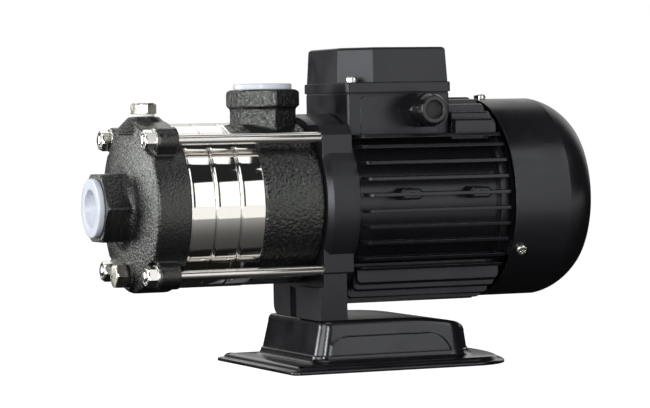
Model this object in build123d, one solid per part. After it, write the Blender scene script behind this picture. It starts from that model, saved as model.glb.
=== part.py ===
from build123d import *
import os
from math import atan, cos, degrees, radians, sqrt

# Horizontal multistage pump with its motor on one shaft line.
# Everything is drawn about the shaft line (X), measured back from the rim front of the
# suction cover, and moved at the end so that the origin is under the base, at the middle
# of its bolt pattern. +X points at the motor fan, +Y away from the cable gland, +Z up.

# Stations along the shaft
SHAFT_HEIGHT = 114.0
COVER_RIM_LENGTH = 22.7
STAGE_COUNT = 3
STAGE_PITCH = 18.0
CASING_LENGTH = 43.6
BRACKET_LENGTH = 23.5
MOTOR_LENGTH = 114.0
FAN_COVER_LENGTH = 65.8

# Clearances
FIT_GAP = 0.2
FREE_GAP = 0.3
SHAFT_RUNNING_GAP = 0.05

# Threaded ports, G1
PORT_MINOR_RADIUS = 15.15
PORT_THREAD_LENGTH = 16.0
PORT_MOUTH_RADIUS = 16.9
PORT_MOUTH_DEPTH = 5.5
PORT_RELIEF_RADIUS = 17.4

# Suction cover
COVER_RADIUS = 58.8
COVER_BORE_RADIUS = 50.0
COVER_DOME_HEIGHT = 6.0
SUCTION_HEX_AF = 46.0
SUCTION_HEX_FRONT = 25.7
SUCTION_FLARE_RADIUS = 33.0
COVER_WALL = 7.5

# Plugs of the suction cover, G1/4
PLUG_RADIUS = 6.4
PLUG_LENGTH = 10.0
PLUG_HEAD_AF = 15.5
PLUG_HEAD_HEIGHT = 7.6
PLUG_WASHER_RADIUS = 7.6
PLUG_WASHER_THICKNESS = 1.8
VENT_X = 10.0
VENT_BOSS_TOP = 61.5
VENT_BOSS_RADIUS = 10.3
DRAIN_Z = -46.5
DRAIN_SEAT_X = -4.5
DRAIN_BOSS_RADIUS = 10.4

# Tie rods
ROD_SPACING = 90.8
ROD_RADIUS = 3.6
ROD_THREAD_RADIUS = 4.0
ROD_FRONT_X = -8.0
ROD_GRIP = 15.0
LUG_RADIUS = 9.0
LUG_FRONT_X = 1.6
LUG_LENGTH = 14.5
NUT_AF = 13.0
NUT_HEIGHT = 6.8
WASHER_RADIUS = 8.0
WASHER_THICKNESS = 1.6

# Stage casings and what turns inside them
STAGE_RADIUS = 56.3
STAGE_WALL = 1.5
STAGE_WEB = 1.5
STAGE_EDGE = 0.5
SPIGOT_WALL = 1.6
SPIGOT_LENGTH = 2.5
SEAL_RING_SECTION = 0.8
SHAFT_RADIUS = 7.0
MOTOR_SHAFT_RADIUS = 7.5
IMPELLER_RADIUS = 43.0
IMPELLER_FRONT_GAP = 1.2
SHROUD = 1.1
BLADE_WIDTH = 4.0
BLADE_THICKNESS = 1.5
BLADE_COUNT = 6
BLADE_INLET_RADIUS = 19.0
BLADE_INLET_ANGLE = 25.0
BLADE_OUTLET_ANGLE = 28.0
EYE_RADIUS = 16.0
EYE_WALL = 1.2
HUB_RADIUS = 10.0
DIFFUSER_PLATE_RADIUS = 47.0
DIFFUSER_PLATE = 1.2
DIFFUSER_GAP = 1.1
VANE_COUNT = 8
VANE_THICKNESS = 1.5
VANE_INNER_RADIUS = 20.0
VANE_INNER_ANGLE = 60.0
VANE_OUTER_ANGLE = 25.0
BAND_WALL = 2.2

# Discharge casing and outlet
CASING_RADIUS = 56.0
CASING_BORE_RADIUS = 49.0
CASING_BACK_WALL = 10.0
OUTLET_X = 97.4
OUTLET_TOP = 79.0
COLLAR_AF = 45.0
COLLAR_HEIGHT = 12.7
NECK_AF = 40.5
NECK_FOOT_Z = 44.0
SEAL_SEAT_RADIUS = 14.0
SEAL_SEAT_LENGTH = 8.0
# Steps of the rotating seal: how far in front of its face, and how far above the shaft
SEAL_HEAD_STEPS = (
    (0.0, 3.5),
    (3.0, 3.5),
    (3.0, 5.5),
    (10.0, 5.5),
    (11.0, 4.0),
    (13.0, 4.0),
    (14.0, 6.0),
    (18.0, 6.0),
)

# Port caps
CAP_FLANGE_RADIUS = 20.3
CAP_FLANGE = 4.0
CAP_SPIGOT_DEPTH = 5.0
CAP_CUP_RADIUS = 12.2
CAP_CUP_DEPTH = 7.5
CAP_CUP_DRAFT = 10.0

# Motor bracket with its foot
BRACKET_RADIUS = 61.6
BRACKET_BORE_RADIUS = 50.0
BRACKET_FRONT_WALL = 4.0
BRACKET_BACK_WALL = 5.0
BRACKET_LUG_HALF_WIDTH = 51.0
BRACKET_LUG_HALF_HEIGHT = 54.0
BRACKET_LUG_FACET = 7.0
BRACKET_LUG_LENGTH = 22.0
FOOT_Z = -80.0
FOOT_FRONT_X = 117.0
FOOT_SETBACK_X = 123.0
FOOT_WEB_X = 128.0
FOOT_BACK_X = 137.3
FOOT_SIDE_INSET = 2.75
NEAR_LEG_INNER_Y = -7.6
FAR_LEG_INNER_Y = 19.0
FOOT_CORNER_RADIUS = 7.0
BEARING_OUTER_RADIUS = 17.5
BEARING_WIDTH = 11.0
BEARING_RACE = 2.8
FRONT_BEARING_X = 136.0

# Base
BASE_LEFT_X = 87.0
BASE_LENGTH = 178.0
BASE_WIDTH = 150.0
BASE_PLATE = 2.5
BASE_STEP = 3.0
BASE_STEP_INSET = 4.5
BASE_FRONT_CORNER = 6.0
BASE_END_RADIUS = 142.0
BASE_END_CORNER = 34.0
BASE_BOLT_FRONT_INSET = 25.0
BASE_BOLT_BACK_INSET = 33.0
BASE_BOLT_SIDE_INSET = 11.0
BASE_BOLT_RADIUS = 4.5
PEDESTAL_LEFT_X = 112.0
PEDESTAL_LENGTH = 131.0
PEDESTAL_SIDE_INSET = 19.5
PEDESTAL_SIDE_LEAN = 2.75
PEDESTAL_FRONT_LEAN = 7.0
PEDESTAL_END_LEAN = 4.0
PEDESTAL_FRONT_CORNER = 9.0
PEDESTAL_END_RADIUS = 80.0
PEDESTAL_END_CORNER = 18.0
PEDESTAL_SHOULDER = 5.0
PEDESTAL_SKIRT = 3.0
PEDESTAL_WALL = 5.0
# Crown line over the pedestal: how far from its motor end, and how far below its top
PEDESTAL_CROWN = ((93.0, 0.0), (53.0, 0.7), (25.0, 3.2), (9.5, 8.0), (1.3, 17.0))
PANEL_FRONT_INSET = 6.0
PANEL_LENGTH = 95.0
PANEL_TOP_DROP = 11.0
PANEL_THICKNESS = 1.1
HOLLOW_FRONT_INSET = 9.5
HOLLOW_LENGTH = 89.0
FOOT_SCREW_RADIUS = 4.0
FOOT_SCREW_Y = 30.0
FOOT_SCREW_AF = 13.0
FOOT_SCREW_HEAD = 5.3
FOOT_SCREW_DEPTH = 14.0

# Motor
MOTOR_BORE_RADIUS = 53.5
MOTOR_SHELL_RADIUS = 58.0
MOTOR_CORNER = 46.5
FIN_TIP_RADIUS = 72.0
FIN_PITCH = 11.0
FIN_THICKNESS = 2.2
FIN_START_GAP = 3.0
FIN_END_GAP = 3.4
FIN_CORNER_RADIUS = 3.0
END_RING_RADIUS = 62.0
END_RING_LENGTH = 6.3
CLIP_BOSS_X = (177.8, 230.5)
CLIP_BOSS_LENGTH = 19.5
CLIP_BOSS_HEIGHT = 7.6
CLIP_BOSS_EDGE = 1.3
CLIP_BOSS_SETBACK = 0.3
STATOR_BORE_RADIUS = 29.0
STATOR_LENGTH = 70.0
STATOR_X = 166.0
WINDING_LENGTH = 15.0
AIR_GAP = 0.4
ROTOR_END_RING = 7.0
REAR_BEARING_X = 249.0
ENDSHIELD_THICKNESS = 6.0

# Fan cover and fan
FAN_COVER_RADIUS = 70.4
FAN_COVER_WALL = 1.5
FAN_COVER_ROUND_LENGTH = 23.0
FAN_COVER_REAR_RADIUS = 58.5
FAN_COVER_BULGE = 2.0
GRILLE_RINGS = (22.0, 31.0, 40.0, 49.0)
GRILLE_SLOT = 4.6
GRILLE_SPOKES = 6
GRILLE_SPOKE_WIDTH = 5.0
COVER_SCREW_RADIUS = 4.2
COVER_SCREW_X = 265.0
COVER_SCREW_ANGLES = (90.0, 210.0, 330.0)
FAN_RADIUS = 56.0
FAN_BLADES = 7
FAN_BLADE = 2.0
FAN_HUB_RADIUS = 13.0
FAN_LENGTH = 22.0
FAN_X = 279.0

# Terminal box and lid
BOX_FRONT_X = 145.3
BOX_LENGTH = 77.8
BOX_HALF_WIDTH = 37.5
BOX_WALL = 3.2
BOX_TOP_Z = 74.6
BOX_PANEL_LENGTH = 59.0
BOX_PANEL = 0.8
GASKET = 1.2
LID_OVERHANG = 1.0
LID_RIM = 6.9
LID_TOP_Z = 107.0
LID_WALL = 2.4
LID_DRAFT = 1.2
LID_NOTCH = 19.0
LID_EDGE = 2.5
LID_SCREW_INSET_X = 5.4
LID_SCREW_INSET_Y = 4.6
LID_SCREW_RADIUS = 2.0
LID_SCREW_HEAD_RADIUS = 4.0
LID_SCREW_HEAD = 4.0
LID_SCREW_LENGTH = 10.0

# Inside the terminal box
TERMINAL_BOARD_Z = 66.0
BOARD_FROM_FRONT = 24.0
BOARD_LENGTH = 28.0
BOARD_WIDTH = 40.0
BOARD_RIB = 1.8
BOARD_RIB_HEIGHT = 4.0
STUD_PITCH = 13.5
STUD_ROW_OFFSET = 7.0
STUD_RADIUS = 2.0
STUD_HEIGHT = 8.0
STUD_NUT_AF = 7.0
STUD_NUT_HEIGHT = 3.2
CAPACITOR_RADIUS = 13.0
CAPACITOR_LENGTH = 42.0

# Cable gland
GLAND_X = 197.0
GLAND_Z = 63.0
GLAND_AF = 23.0
GLAND_FLANGE_RADIUS = 12.8
GLAND_FLANGE = 2.6
GLAND_BODY = 8.0
GLAND_NUT = 19.5
GLAND_SKIRT = 6.0
GLAND_SKIRT_RADIUS = 13.5
GLAND_NUT_RADIUS = 11.6
GLAND_NOSE_RADIUS = 8.6
GLAND_NOSE_ROUND = 5.0
GLAND_NOSE_WALL = 3.0
GLAND_DISC = 2.0
GLAND_DISC_SETBACK = 1.2
GLAND_HOLE_RADIUS = 6.0
GLAND_NECK_RADIUS = 8.5
GLAND_SEAL_RADIUS = 8.0

# Stations worked out from the lengths above
X_STAGES = COVER_RIM_LENGTH
X_CASING = X_STAGES + STAGE_COUNT * STAGE_PITCH
X_BRACKET = X_CASING + CASING_LENGTH
X_MOTOR = X_BRACKET + BRACKET_LENGTH
X_FAN_COVER = X_MOTOR + MOTOR_LENGTH
X_REAR = X_FAN_COVER + FAN_COVER_LENGTH
SOCKET_RADIUS = STAGE_RADIUS - STAGE_WALL
SPIGOT_RADIUS = SOCKET_RADIUS - FREE_GAP
ROD_OFFSET = ROD_SPACING / 2
ROD_PLACES = [(y, z) for y in (-ROD_OFFSET, ROD_OFFSET) for z in (-ROD_OFFSET, ROD_OFFSET)]
BOLT_FRONT_X = BASE_LEFT_X + BASE_BOLT_FRONT_INSET
BOLT_BACK_X = BASE_LEFT_X + BASE_LENGTH - BASE_BOLT_BACK_INSET
BOLT_Y = BASE_WIDTH / 2 - BASE_BOLT_SIDE_INSET
BASE_CENTRE_X = (BOLT_FRONT_X + BOLT_BACK_X) / 2
FLANGE_TOP_Z = -SHAFT_HEIGHT + BASE_PLATE + BASE_STEP
PEDESTAL_BOTTOM_HALF = BASE_WIDTH / 2 - PEDESTAL_SIDE_INSET
PEDESTAL_TOP_HALF = PEDESTAL_BOTTOM_HALF - PEDESTAL_SIDE_LEAN
FOOT_HALF_WIDTH = PEDESTAL_TOP_HALF - FOOT_SIDE_INSET
FOOT_SCREW_X = (FOOT_SETBACK_X + FOOT_BACK_X) / 2
BOX_FLOOR_RADIUS = MOTOR_SHELL_RADIUS + FIT_GAP + BOX_WALL
PLACE = Location((-BASE_CENTRE_X, 0, SHAFT_HEIGHT))


def along_x(shape, x=0.0, y=0.0, z=0.0):
    """Turn a shape drawn up +Z so that it runs along +X from the given point."""
    return Location((x, y, z), (0, 90, 0)) * shape


def against_x(shape, x=0.0, y=0.0, z=0.0):
    """Turn a shape drawn up +Z so that it runs along -X from the given point."""
    return Location((x, y, z), (0, -90, 0)) * shape


def toward_viewer(shape, x=0.0, y=0.0, z=0.0):
    """Turn a shape drawn up +Z so that it runs along -Y from the given point."""
    return Location((x, y, z), (90, 0, 0)) * shape


def turned(*points):
    """Solid of revolution about the shaft line from (x, radius) corners."""
    corners = [p for i, p in enumerate(points) if p != points[i - 1]]
    return revolve(make_face(Polyline(*corners, close=True)), axis=Axis.X)


def pipe(x0, x1, inner, outer):
    """Plain ring about the shaft line."""
    return along_x(extrude(Circle(outer) - Circle(inner), x1 - x0), x0)


def rod(x0, x1, radius, y=0.0, z=0.0):
    """Plain round bar along the shaft line's direction."""
    return along_x(extrude(Circle(radius), x1 - x0), x0, y, z)


def block(x0, x1, y0, y1, z0, z1):
    """Box given by its corner coordinates."""
    size = Box(x1 - x0, y1 - y0, z1 - z0, align=(Align.MIN, Align.MIN, Align.MIN))
    return Pos(x0, y0, z0) * size


def hex_prism(across_flats, height, top=0.0, bottom=0.0, turn=0.0):
    """Hexagon bar up +Z with its corners turned off at either end."""
    corner = across_flats / sqrt(3)
    blank = extrude(RegularPolygon(corner, 6, rotation=turn), height)
    points = [
        (0, 0),
        (corner - bottom, 0),
        (corner, bottom * 0.6),
        (corner, height - top * 0.6),
        (corner - top, height),
        (0, height),
    ]
    outline = [p for i, p in enumerate(points) if i == 0 or p != points[i - 1]]
    turning = make_face(Plane.XZ * Polyline(*outline, close=True))
    return blank & revolve(turning, axis=Axis.Z)


def curved_blades(inner, outer, inner_angle, outer_angle, thickness, count, height, hand=1):
    """Blades up +Z between two radii, each a circular arc that meets both at its own angle."""
    a, b = 2 * inner * cos(radians(inner_angle)), 2 * outer * cos(radians(outer_angle))
    arc = (outer**2 - inner**2) / (b - a)
    offset = sqrt(arc**2 + inner**2 - a * arc)
    strip = Pos(offset, 0) * (Circle(arc + thickness / 2) - Circle(arc - thickness / 2))
    span = Circle(outer) - Circle(inner)
    side = Pos(0, hand * outer * 2) * Rectangle(outer * 4, outer * 4)
    blade = extrude(strip & span & side, height)
    return [Rot(0, 0, 360 / count * i) * blade for i in range(count)]


# Suction end

def cover_profile():
    """Outer turned form: flare behind the hexagon, shallow dome and straight rim."""
    root = SUCTION_HEX_AF / 2
    flare = SUCTION_FLARE_RADIUS
    dome = -COVER_DOME_HEIGHT
    edge = 2.0
    lines = [
        Line((dome - 5, 0), (dome - 5, root)),
        ThreePointArc((dome - 5, root), (dome - 1.6, root + 3.2), (dome, flare)),
        ThreePointArc((dome, flare), (dome * 0.66, flare + 13), (-1.4, COVER_RADIUS - edge)),
        ThreePointArc((-1.4, COVER_RADIUS - edge), (-0.7, COVER_RADIUS - 0.5), (edge - 1, COVER_RADIUS)),
        Line((edge - 1, COVER_RADIUS), (COVER_RIM_LENGTH, COVER_RADIUS)),
        Line((COVER_RIM_LENGTH, COVER_RADIUS), (COVER_RIM_LENGTH, 0)),
        Line((COVER_RIM_LENGTH, 0), (dome - 5, 0)),
    ]
    return revolve(make_face(Wire(lines)), axis=Axis.X)


def port_bore():
    """Mouth, threaded length and relief of a port, cut down -Z from its face."""
    mouth = extrude(Circle(PORT_MOUTH_RADIUS), -PORT_MOUTH_DEPTH)
    thread = Pos(0, 0, -PORT_MOUTH_DEPTH) * extrude(Circle(PORT_MINOR_RADIUS), -PORT_THREAD_LENGTH)
    return mouth + thread


def suction_cover():
    body = cover_profile()
    hexagon = hex_prism(SUCTION_HEX_AF, SUCTION_HEX_FRONT - COVER_DOME_HEIGHT, top=2.2, turn=90)
    body += against_x(hexagon, -COVER_DOME_HEIGHT)
    slope = 11.5
    boss_foot = VENT_BOSS_TOP - slope
    vent_boss = Pos(VENT_X, 0, boss_foot) * extrude(Circle(VENT_BOSS_RADIUS + slope), slope, taper=45)
    vent_boss = vent_boss & block(-COVER_RADIUS, COVER_RIM_LENGTH, -30, 30, 0, 90)
    body += vent_boss
    body += rod(DRAIN_SEAT_X, COVER_RIM_LENGTH / 2, DRAIN_BOSS_RADIUS, z=DRAIN_Z)
    body -= rod(-COVER_DOME_HEIGHT * 2, DRAIN_SEAT_X, PLUG_WASHER_RADIUS + 0.8, z=DRAIN_Z)
    lug_end = LUG_FRONT_X + LUG_LENGTH
    for y, z in ROD_PLACES:
        body += rod(LUG_FRONT_X, lug_end, LUG_RADIUS, y, z)
        body -= rod(-COVER_DOME_HEIGHT * 2, LUG_FRONT_X, LUG_RADIUS + 0.6, y, z)
        body -= rod(0, COVER_RIM_LENGTH + 1, ROD_THREAD_RADIUS + FREE_GAP, y, z)
    thread_end = -SUCTION_HEX_FRONT + PORT_MOUTH_DEPTH + PORT_THREAD_LENGTH
    socket_start = COVER_RIM_LENGTH - SPIGOT_LENGTH - 0.5
    body -= turned(
        (thread_end, 0),
        (thread_end, PORT_RELIEF_RADIUS),
        (-COVER_DOME_HEIGHT + COVER_WALL, PORT_RELIEF_RADIUS),
        (COVER_WALL - 1, COVER_BORE_RADIUS - 4),
        (COVER_WALL + 3, COVER_BORE_RADIUS),
        (socket_start, COVER_BORE_RADIUS),
        (socket_start, SOCKET_RADIUS),
        (COVER_RIM_LENGTH, SOCKET_RADIUS),
        (COVER_RIM_LENGTH, 0),
    )
    body -= against_x(port_bore(), -SUCTION_HEX_FRONT)
    hole = PLUG_RADIUS + FREE_GAP
    body -= Pos(VENT_X, 0, COVER_BORE_RADIUS - 4) * extrude(Circle(hole), 20)
    body -= rod(DRAIN_SEAT_X - 1, COVER_WALL + 3, hole, z=DRAIN_Z)
    return body


def plug():
    """Hexagon-headed plug with its seat at Z = 0 and its head up."""
    shank = extrude(Circle(PLUG_RADIUS), -(PLUG_LENGTH + PLUG_WASHER_THICKNESS))
    shank = chamfer(shank.edges().group_by(Axis.Z)[0], 1.0)
    head = hex_prism(PLUG_HEAD_AF, PLUG_HEAD_HEIGHT, top=1.2, turn=90)
    return Pos(0, 0, PLUG_WASHER_THICKNESS) * (shank + head)


def plug_washer():
    return extrude(Circle(PLUG_WASHER_RADIUS) - Circle(PLUG_RADIUS), PLUG_WASHER_THICKNESS)


def port_cap():
    """Push-in cap seated on a port face at Z = 0: flange, spigot and open cup."""
    body = extrude(Circle(CAP_FLANGE_RADIUS), CAP_FLANGE)
    body = fillet(body.edges().group_by(Axis.Z)[-1], 1.2)
    body += extrude(Circle(PORT_MOUTH_RADIUS - FREE_GAP), -CAP_SPIGOT_DEPTH)
    cup = extrude(Circle(CAP_CUP_RADIUS), -CAP_CUP_DEPTH, taper=CAP_CUP_DRAFT)
    return body - Pos(0, 0, CAP_FLANGE) * cup


# Stages

def stage_casing(x0):
    """Pressed stage shell: front spigot, web with the neck hole, polished outer wall."""
    neck_hole = EYE_RADIUS + EYE_WALL + FREE_GAP
    inner_spigot = SPIGOT_RADIUS - SPIGOT_WALL
    end = x0 + STAGE_PITCH
    groove_x = x0 - SPIGOT_LENGTH / 2
    return turned(
        (x0 - SPIGOT_LENGTH, inner_spigot),
        (x0 - SPIGOT_LENGTH, SPIGOT_RADIUS),
        (groove_x - SEAL_RING_SECTION / 2, SPIGOT_RADIUS),
        (groove_x - SEAL_RING_SECTION / 2, SPIGOT_RADIUS - SEAL_RING_SECTION),
        (groove_x + SEAL_RING_SECTION / 2, SPIGOT_RADIUS - SEAL_RING_SECTION),
        (groove_x + SEAL_RING_SECTION / 2, SPIGOT_RADIUS),
        (x0, SPIGOT_RADIUS),
        (x0, STAGE_RADIUS - STAGE_EDGE),
        (x0 + STAGE_EDGE, STAGE_RADIUS),
        (end - STAGE_EDGE, STAGE_RADIUS),
        (end, STAGE_RADIUS - STAGE_EDGE),
        (end, SOCKET_RADIUS),
        (x0 + STAGE_WEB, SOCKET_RADIUS),
        (x0 + STAGE_WEB, neck_hole),
        (x0, neck_hole),
        (x0, inner_spigot),
    )


def seal_ring(x0):
    """Joint ring in the spigot groove of the piece that starts at x0."""
    middle = x0 - SPIGOT_LENGTH / 2
    half = SEAL_RING_SECTION / 2
    bottom = SPIGOT_RADIUS - SEAL_RING_SECTION
    return pipe(middle - half, middle + half, bottom, SOCKET_RADIUS)


def impeller(x0):
    """Closed impeller: eye neck, two shrouds and backward-curved blades on a hub."""
    front = x0 + STAGE_WEB + IMPELLER_FRONT_GAP
    blades = front + SHROUD
    back = blades + BLADE_WIDTH
    end = back + SHROUD
    neck = pipe(x0 - 0.8, blades, EYE_RADIUS, EYE_RADIUS + EYE_WALL)
    shroud = pipe(front, blades, EYE_RADIUS, IMPELLER_RADIUS)
    disc = pipe(back, end, SHAFT_RADIUS, IMPELLER_RADIUS)
    hub = pipe(front, end, SHAFT_RADIUS, HUB_RADIUS)
    vanes = curved_blades(
        BLADE_INLET_RADIUS,
        IMPELLER_RADIUS - 0.2,
        BLADE_INLET_ANGLE,
        BLADE_OUTLET_ANGLE,
        BLADE_THICKNESS,
        BLADE_COUNT,
        BLADE_WIDTH,
    )
    body = neck + shroud + disc + hub
    for vane in vanes:
        body += along_x(vane, blades)
    return body


def impeller_end(x0):
    return x0 + STAGE_WEB + IMPELLER_FRONT_GAP + 2 * SHROUD + BLADE_WIDTH


def diffuser(x0):
    """Guide wheel: plate, return vanes behind it and the band that seats in the casing."""
    plate = impeller_end(x0) + DIFFUSER_GAP
    vanes_start = plate + DIFFUSER_PLATE
    end = x0 + STAGE_PITCH
    band_outer = SOCKET_RADIUS - FIT_GAP
    band_inner = SPIGOT_RADIUS - SPIGOT_WALL - FREE_GAP - FIT_GAP
    body = pipe(plate, vanes_start, HUB_RADIUS + FREE_GAP, DIFFUSER_PLATE_RADIUS)
    body += pipe(plate, end - SPIGOT_LENGTH, band_inner, band_outer)
    vanes = curved_blades(
        VANE_INNER_RADIUS,
        band_inner + FIT_GAP,
        VANE_INNER_ANGLE,
        VANE_OUTER_ANGLE,
        VANE_THICKNESS,
        VANE_COUNT,
        end - plate - DIFFUSER_PLATE / 2,
        hand=-1,
    )
    for vane in vanes:
        body += along_x(vane, plate + DIFFUSER_PLATE / 2)
    return body


# Tie rods

def tie_rod(y, z):
    end = X_BRACKET + ROD_GRIP
    thread = 14.0
    body = rod(ROD_FRONT_X, end, ROD_RADIUS, y, z)
    body += rod(ROD_FRONT_X, ROD_FRONT_X + thread, ROD_THREAD_RADIUS, y, z)
    body += rod(X_BRACKET, end, ROD_THREAD_RADIUS, y, z)
    return chamfer(body.edges().group_by(Axis.X)[0], 0.8)


def tie_rod_nut(y, z):
    blank = hex_prism(NUT_AF, NUT_HEIGHT, top=1.1, turn=15)
    blank -= extrude(Circle(ROD_THREAD_RADIUS), NUT_HEIGHT)
    return against_x(blank, LUG_FRONT_X - WASHER_THICKNESS, y, z)


def tie_rod_washer(y, z):
    ring = extrude(Circle(WASHER_RADIUS) - Circle(ROD_THREAD_RADIUS), WASHER_THICKNESS)
    return against_x(ring, LUG_FRONT_X, y, z)


# Discharge casing

def discharge_casing():
    """Cast casing with the outlet on top, hollow inside, with the seal housing in its back wall."""
    inner_spigot = SPIGOT_RADIUS - SPIGOT_WALL
    groove_x = X_CASING - SPIGOT_LENGTH / 2
    half = SEAL_RING_SECTION / 2
    chamber_end = X_BRACKET - CASING_BACK_WALL
    edge = 1.0
    body = turned(
        (X_CASING - SPIGOT_LENGTH, inner_spigot),
        (X_CASING - SPIGOT_LENGTH, SPIGOT_RADIUS),
        (groove_x - half, SPIGOT_RADIUS),
        (groove_x - half, SPIGOT_RADIUS - SEAL_RING_SECTION),
        (groove_x + half, SPIGOT_RADIUS - SEAL_RING_SECTION),
        (groove_x + half, SPIGOT_RADIUS),
        (X_CASING, SPIGOT_RADIUS),
        (X_CASING, CASING_RADIUS - edge),
        (X_CASING + edge, CASING_RADIUS),
        (X_BRACKET - edge, CASING_RADIUS),
        (X_BRACKET, CASING_RADIUS - edge),
        (X_BRACKET, MOTOR_SHAFT_RADIUS + FREE_GAP),
        (X_CASING, MOTOR_SHAFT_RADIUS + FREE_GAP),
        (X_CASING, inner_spigot),
    )
    neck = OUTLET_TOP - COLLAR_HEIGHT - NECK_FOOT_Z
    port = Pos(OUTLET_X, 0, NECK_FOOT_Z) * hex_prism(NECK_AF, neck, turn=90)
    collar = hex_prism(COLLAR_AF, COLLAR_HEIGHT, top=3.2, bottom=2.4, turn=90)
    body += port
    body += Pos(OUTLET_X, 0, OUTLET_TOP - COLLAR_HEIGHT) * collar
    cavity = turned(
        (X_CASING - SPIGOT_LENGTH - 1, 0),
        (X_CASING - SPIGOT_LENGTH - 1, CASING_BORE_RADIUS),
        (chamber_end - 6, CASING_BORE_RADIUS),
        (chamber_end, CASING_BORE_RADIUS - 8),
        (chamber_end, 0),
    )
    body -= cavity
    body -= rod(chamber_end - 1, chamber_end + SEAL_SEAT_LENGTH - 1, SEAL_SEAT_RADIUS + FIT_GAP / 2)
    body -= Pos(OUTLET_X, 0, OUTLET_TOP) * port_bore()
    relief_top = OUTLET_TOP - PORT_MOUTH_DEPTH - PORT_THREAD_LENGTH
    body -= Pos(OUTLET_X, 0, relief_top) * extrude(Circle(PORT_RELIEF_RADIUS - 1), -(relief_top - NECK_FOOT_Z + 6))
    return body


def seal_seat():
    """Stationary seal ring pressed into the casing's back wall."""
    start = X_BRACKET - CASING_BACK_WALL - 1
    return pipe(start, start + SEAL_SEAT_LENGTH - 0.2, MOTOR_SHAFT_RADIUS + FREE_GAP, SEAL_SEAT_RADIUS)


def seal_head():
    """Rotating seal: carbon face, bellows cup and driving collar, on the shaft."""
    face = X_BRACKET - CASING_BACK_WALL - 1 - SHAFT_RUNNING_GAP
    bore = MOTOR_SHAFT_RADIUS
    steps = [(face - back, bore + wall) for back, wall in SEAL_HEAD_STEPS]
    return turned((face, bore), *steps, (steps[-1][0], bore))


# Bracket, foot and base

def motor_bracket():
    """Aluminium bracket: barrel, corner lugs for the tie rods, bearing hub and stepped foot."""
    back = X_MOTOR
    chamber = (X_BRACKET + BRACKET_FRONT_WALL, back - BRACKET_BACK_WALL)
    body = turned(
        (X_BRACKET, 0),
        (X_BRACKET, BRACKET_RADIUS - 2),
        (X_BRACKET + BRACKET_FRONT_WALL, BRACKET_RADIUS),
        (back, BRACKET_RADIUS),
        (back, 0),
    )
    width = 2 * BRACKET_LUG_HALF_WIDTH
    height = 2 * BRACKET_LUG_HALF_HEIGHT
    outline = chamfer(Rectangle(height, width).vertices(), BRACKET_LUG_FACET)
    body += along_x(extrude(outline, BRACKET_LUG_LENGTH), X_BRACKET)
    body += foot()
    body -= pipe(chamber[0], chamber[1], BEARING_OUTER_RADIUS + 5, BRACKET_BORE_RADIUS)
    body += pipe(back, back + SPIGOT_LENGTH, MOTOR_BORE_RADIUS - 5, MOTOR_BORE_RADIUS - FIT_GAP)
    hub_end = FRONT_BEARING_X + BEARING_WIDTH + 1
    body += pipe(chamber[0], hub_end, SHAFT_RADIUS, BEARING_OUTER_RADIUS + 5)
    body -= rod(X_BRACKET - 1, hub_end + 1, MOTOR_SHAFT_RADIUS + 1.0)
    body -= rod(FRONT_BEARING_X, hub_end + 1, BEARING_OUTER_RADIUS)
    for y, z in ROD_PLACES:
        body -= rod(X_BRACKET, X_BRACKET + ROD_GRIP + 1, ROD_THREAD_RADIUS, y, z)
    for side in (-1, 1):
        hole = extrude(Circle(FOOT_SCREW_RADIUS), 16)
        body -= Pos(FOOT_SCREW_X, side * FOOT_SCREW_Y, FOOT_Z) * hole
    return body


def foot():
    """Stepped foot: full near leg, set-back far leg and a recessed web between them."""
    top = -BRACKET_RADIUS * 0.5
    under_casing = -CASING_RADIUS - 1.5
    near = block(FOOT_FRONT_X, FOOT_BACK_X, -FOOT_HALF_WIDTH, NEAR_LEG_INNER_Y, FOOT_Z, under_casing)
    near += block(X_BRACKET, FOOT_BACK_X, -FOOT_HALF_WIDTH, NEAR_LEG_INNER_Y, FOOT_Z, top)
    web = block(FOOT_WEB_X, FOOT_BACK_X, NEAR_LEG_INNER_Y, FAR_LEG_INNER_Y, FOOT_Z, top)
    far = block(FOOT_SETBACK_X, FOOT_BACK_X, FAR_LEG_INNER_Y, FOOT_HALF_WIDTH, FOOT_Z, top)
    corner = far.edges().filter_by(Axis.X).sort_by(Axis.Z)[0:2].sort_by(Axis.Y)[-1]
    far = fillet(corner, FOOT_CORNER_RADIUS)
    return near + web + far


def round_ended(front, back, half_width, front_corner, end_radius, end_corner):
    """Outline seen from above: two small corners in front and one wide arc at the back."""
    ends_apart = back - front + end_corner
    sheet = Pos(front, 0) * Rectangle(ends_apart, 2 * half_width, align=(Align.MIN, Align.CENTER))
    end = Circle(end_radius) + Rectangle(ends_apart, 2 * end_radius, align=(Align.MIN, Align.CENTER))
    sheet = sheet & (Pos(back - end_radius, 0) * (Rot(0, 0, 180) * end))
    sheet = fillet(sheet.vertices().group_by(Axis.X)[0], front_corner)
    return fillet(sheet.vertices().group_by(Axis.X)[-1], end_corner)


def base_outline(inset):
    return round_ended(
        BASE_LEFT_X + inset,
        BASE_LEFT_X + BASE_LENGTH - inset,
        BASE_WIDTH / 2 - inset,
        BASE_FRONT_CORNER - inset / 2,
        BASE_END_RADIUS - inset,
        BASE_END_CORNER - inset,
    )


def pedestal_outline(lean, grow):
    """Pedestal outline at one height: lean runs from 0 at its bottom to 1 at its top."""
    return round_ended(
        PEDESTAL_LEFT_X + lean * PEDESTAL_FRONT_LEAN - grow,
        PEDESTAL_LEFT_X + PEDESTAL_LENGTH - lean * PEDESTAL_END_LEAN + grow,
        PEDESTAL_BOTTOM_HALF - lean * PEDESTAL_SIDE_LEAN + grow,
        PEDESTAL_FRONT_CORNER - lean * PEDESTAL_SIDE_LEAN + grow,
        PEDESTAL_END_RADIUS - lean * PEDESTAL_END_LEAN + grow,
        PEDESTAL_END_CORNER - lean * PEDESTAL_SIDE_LEAN + grow,
    )


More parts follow.
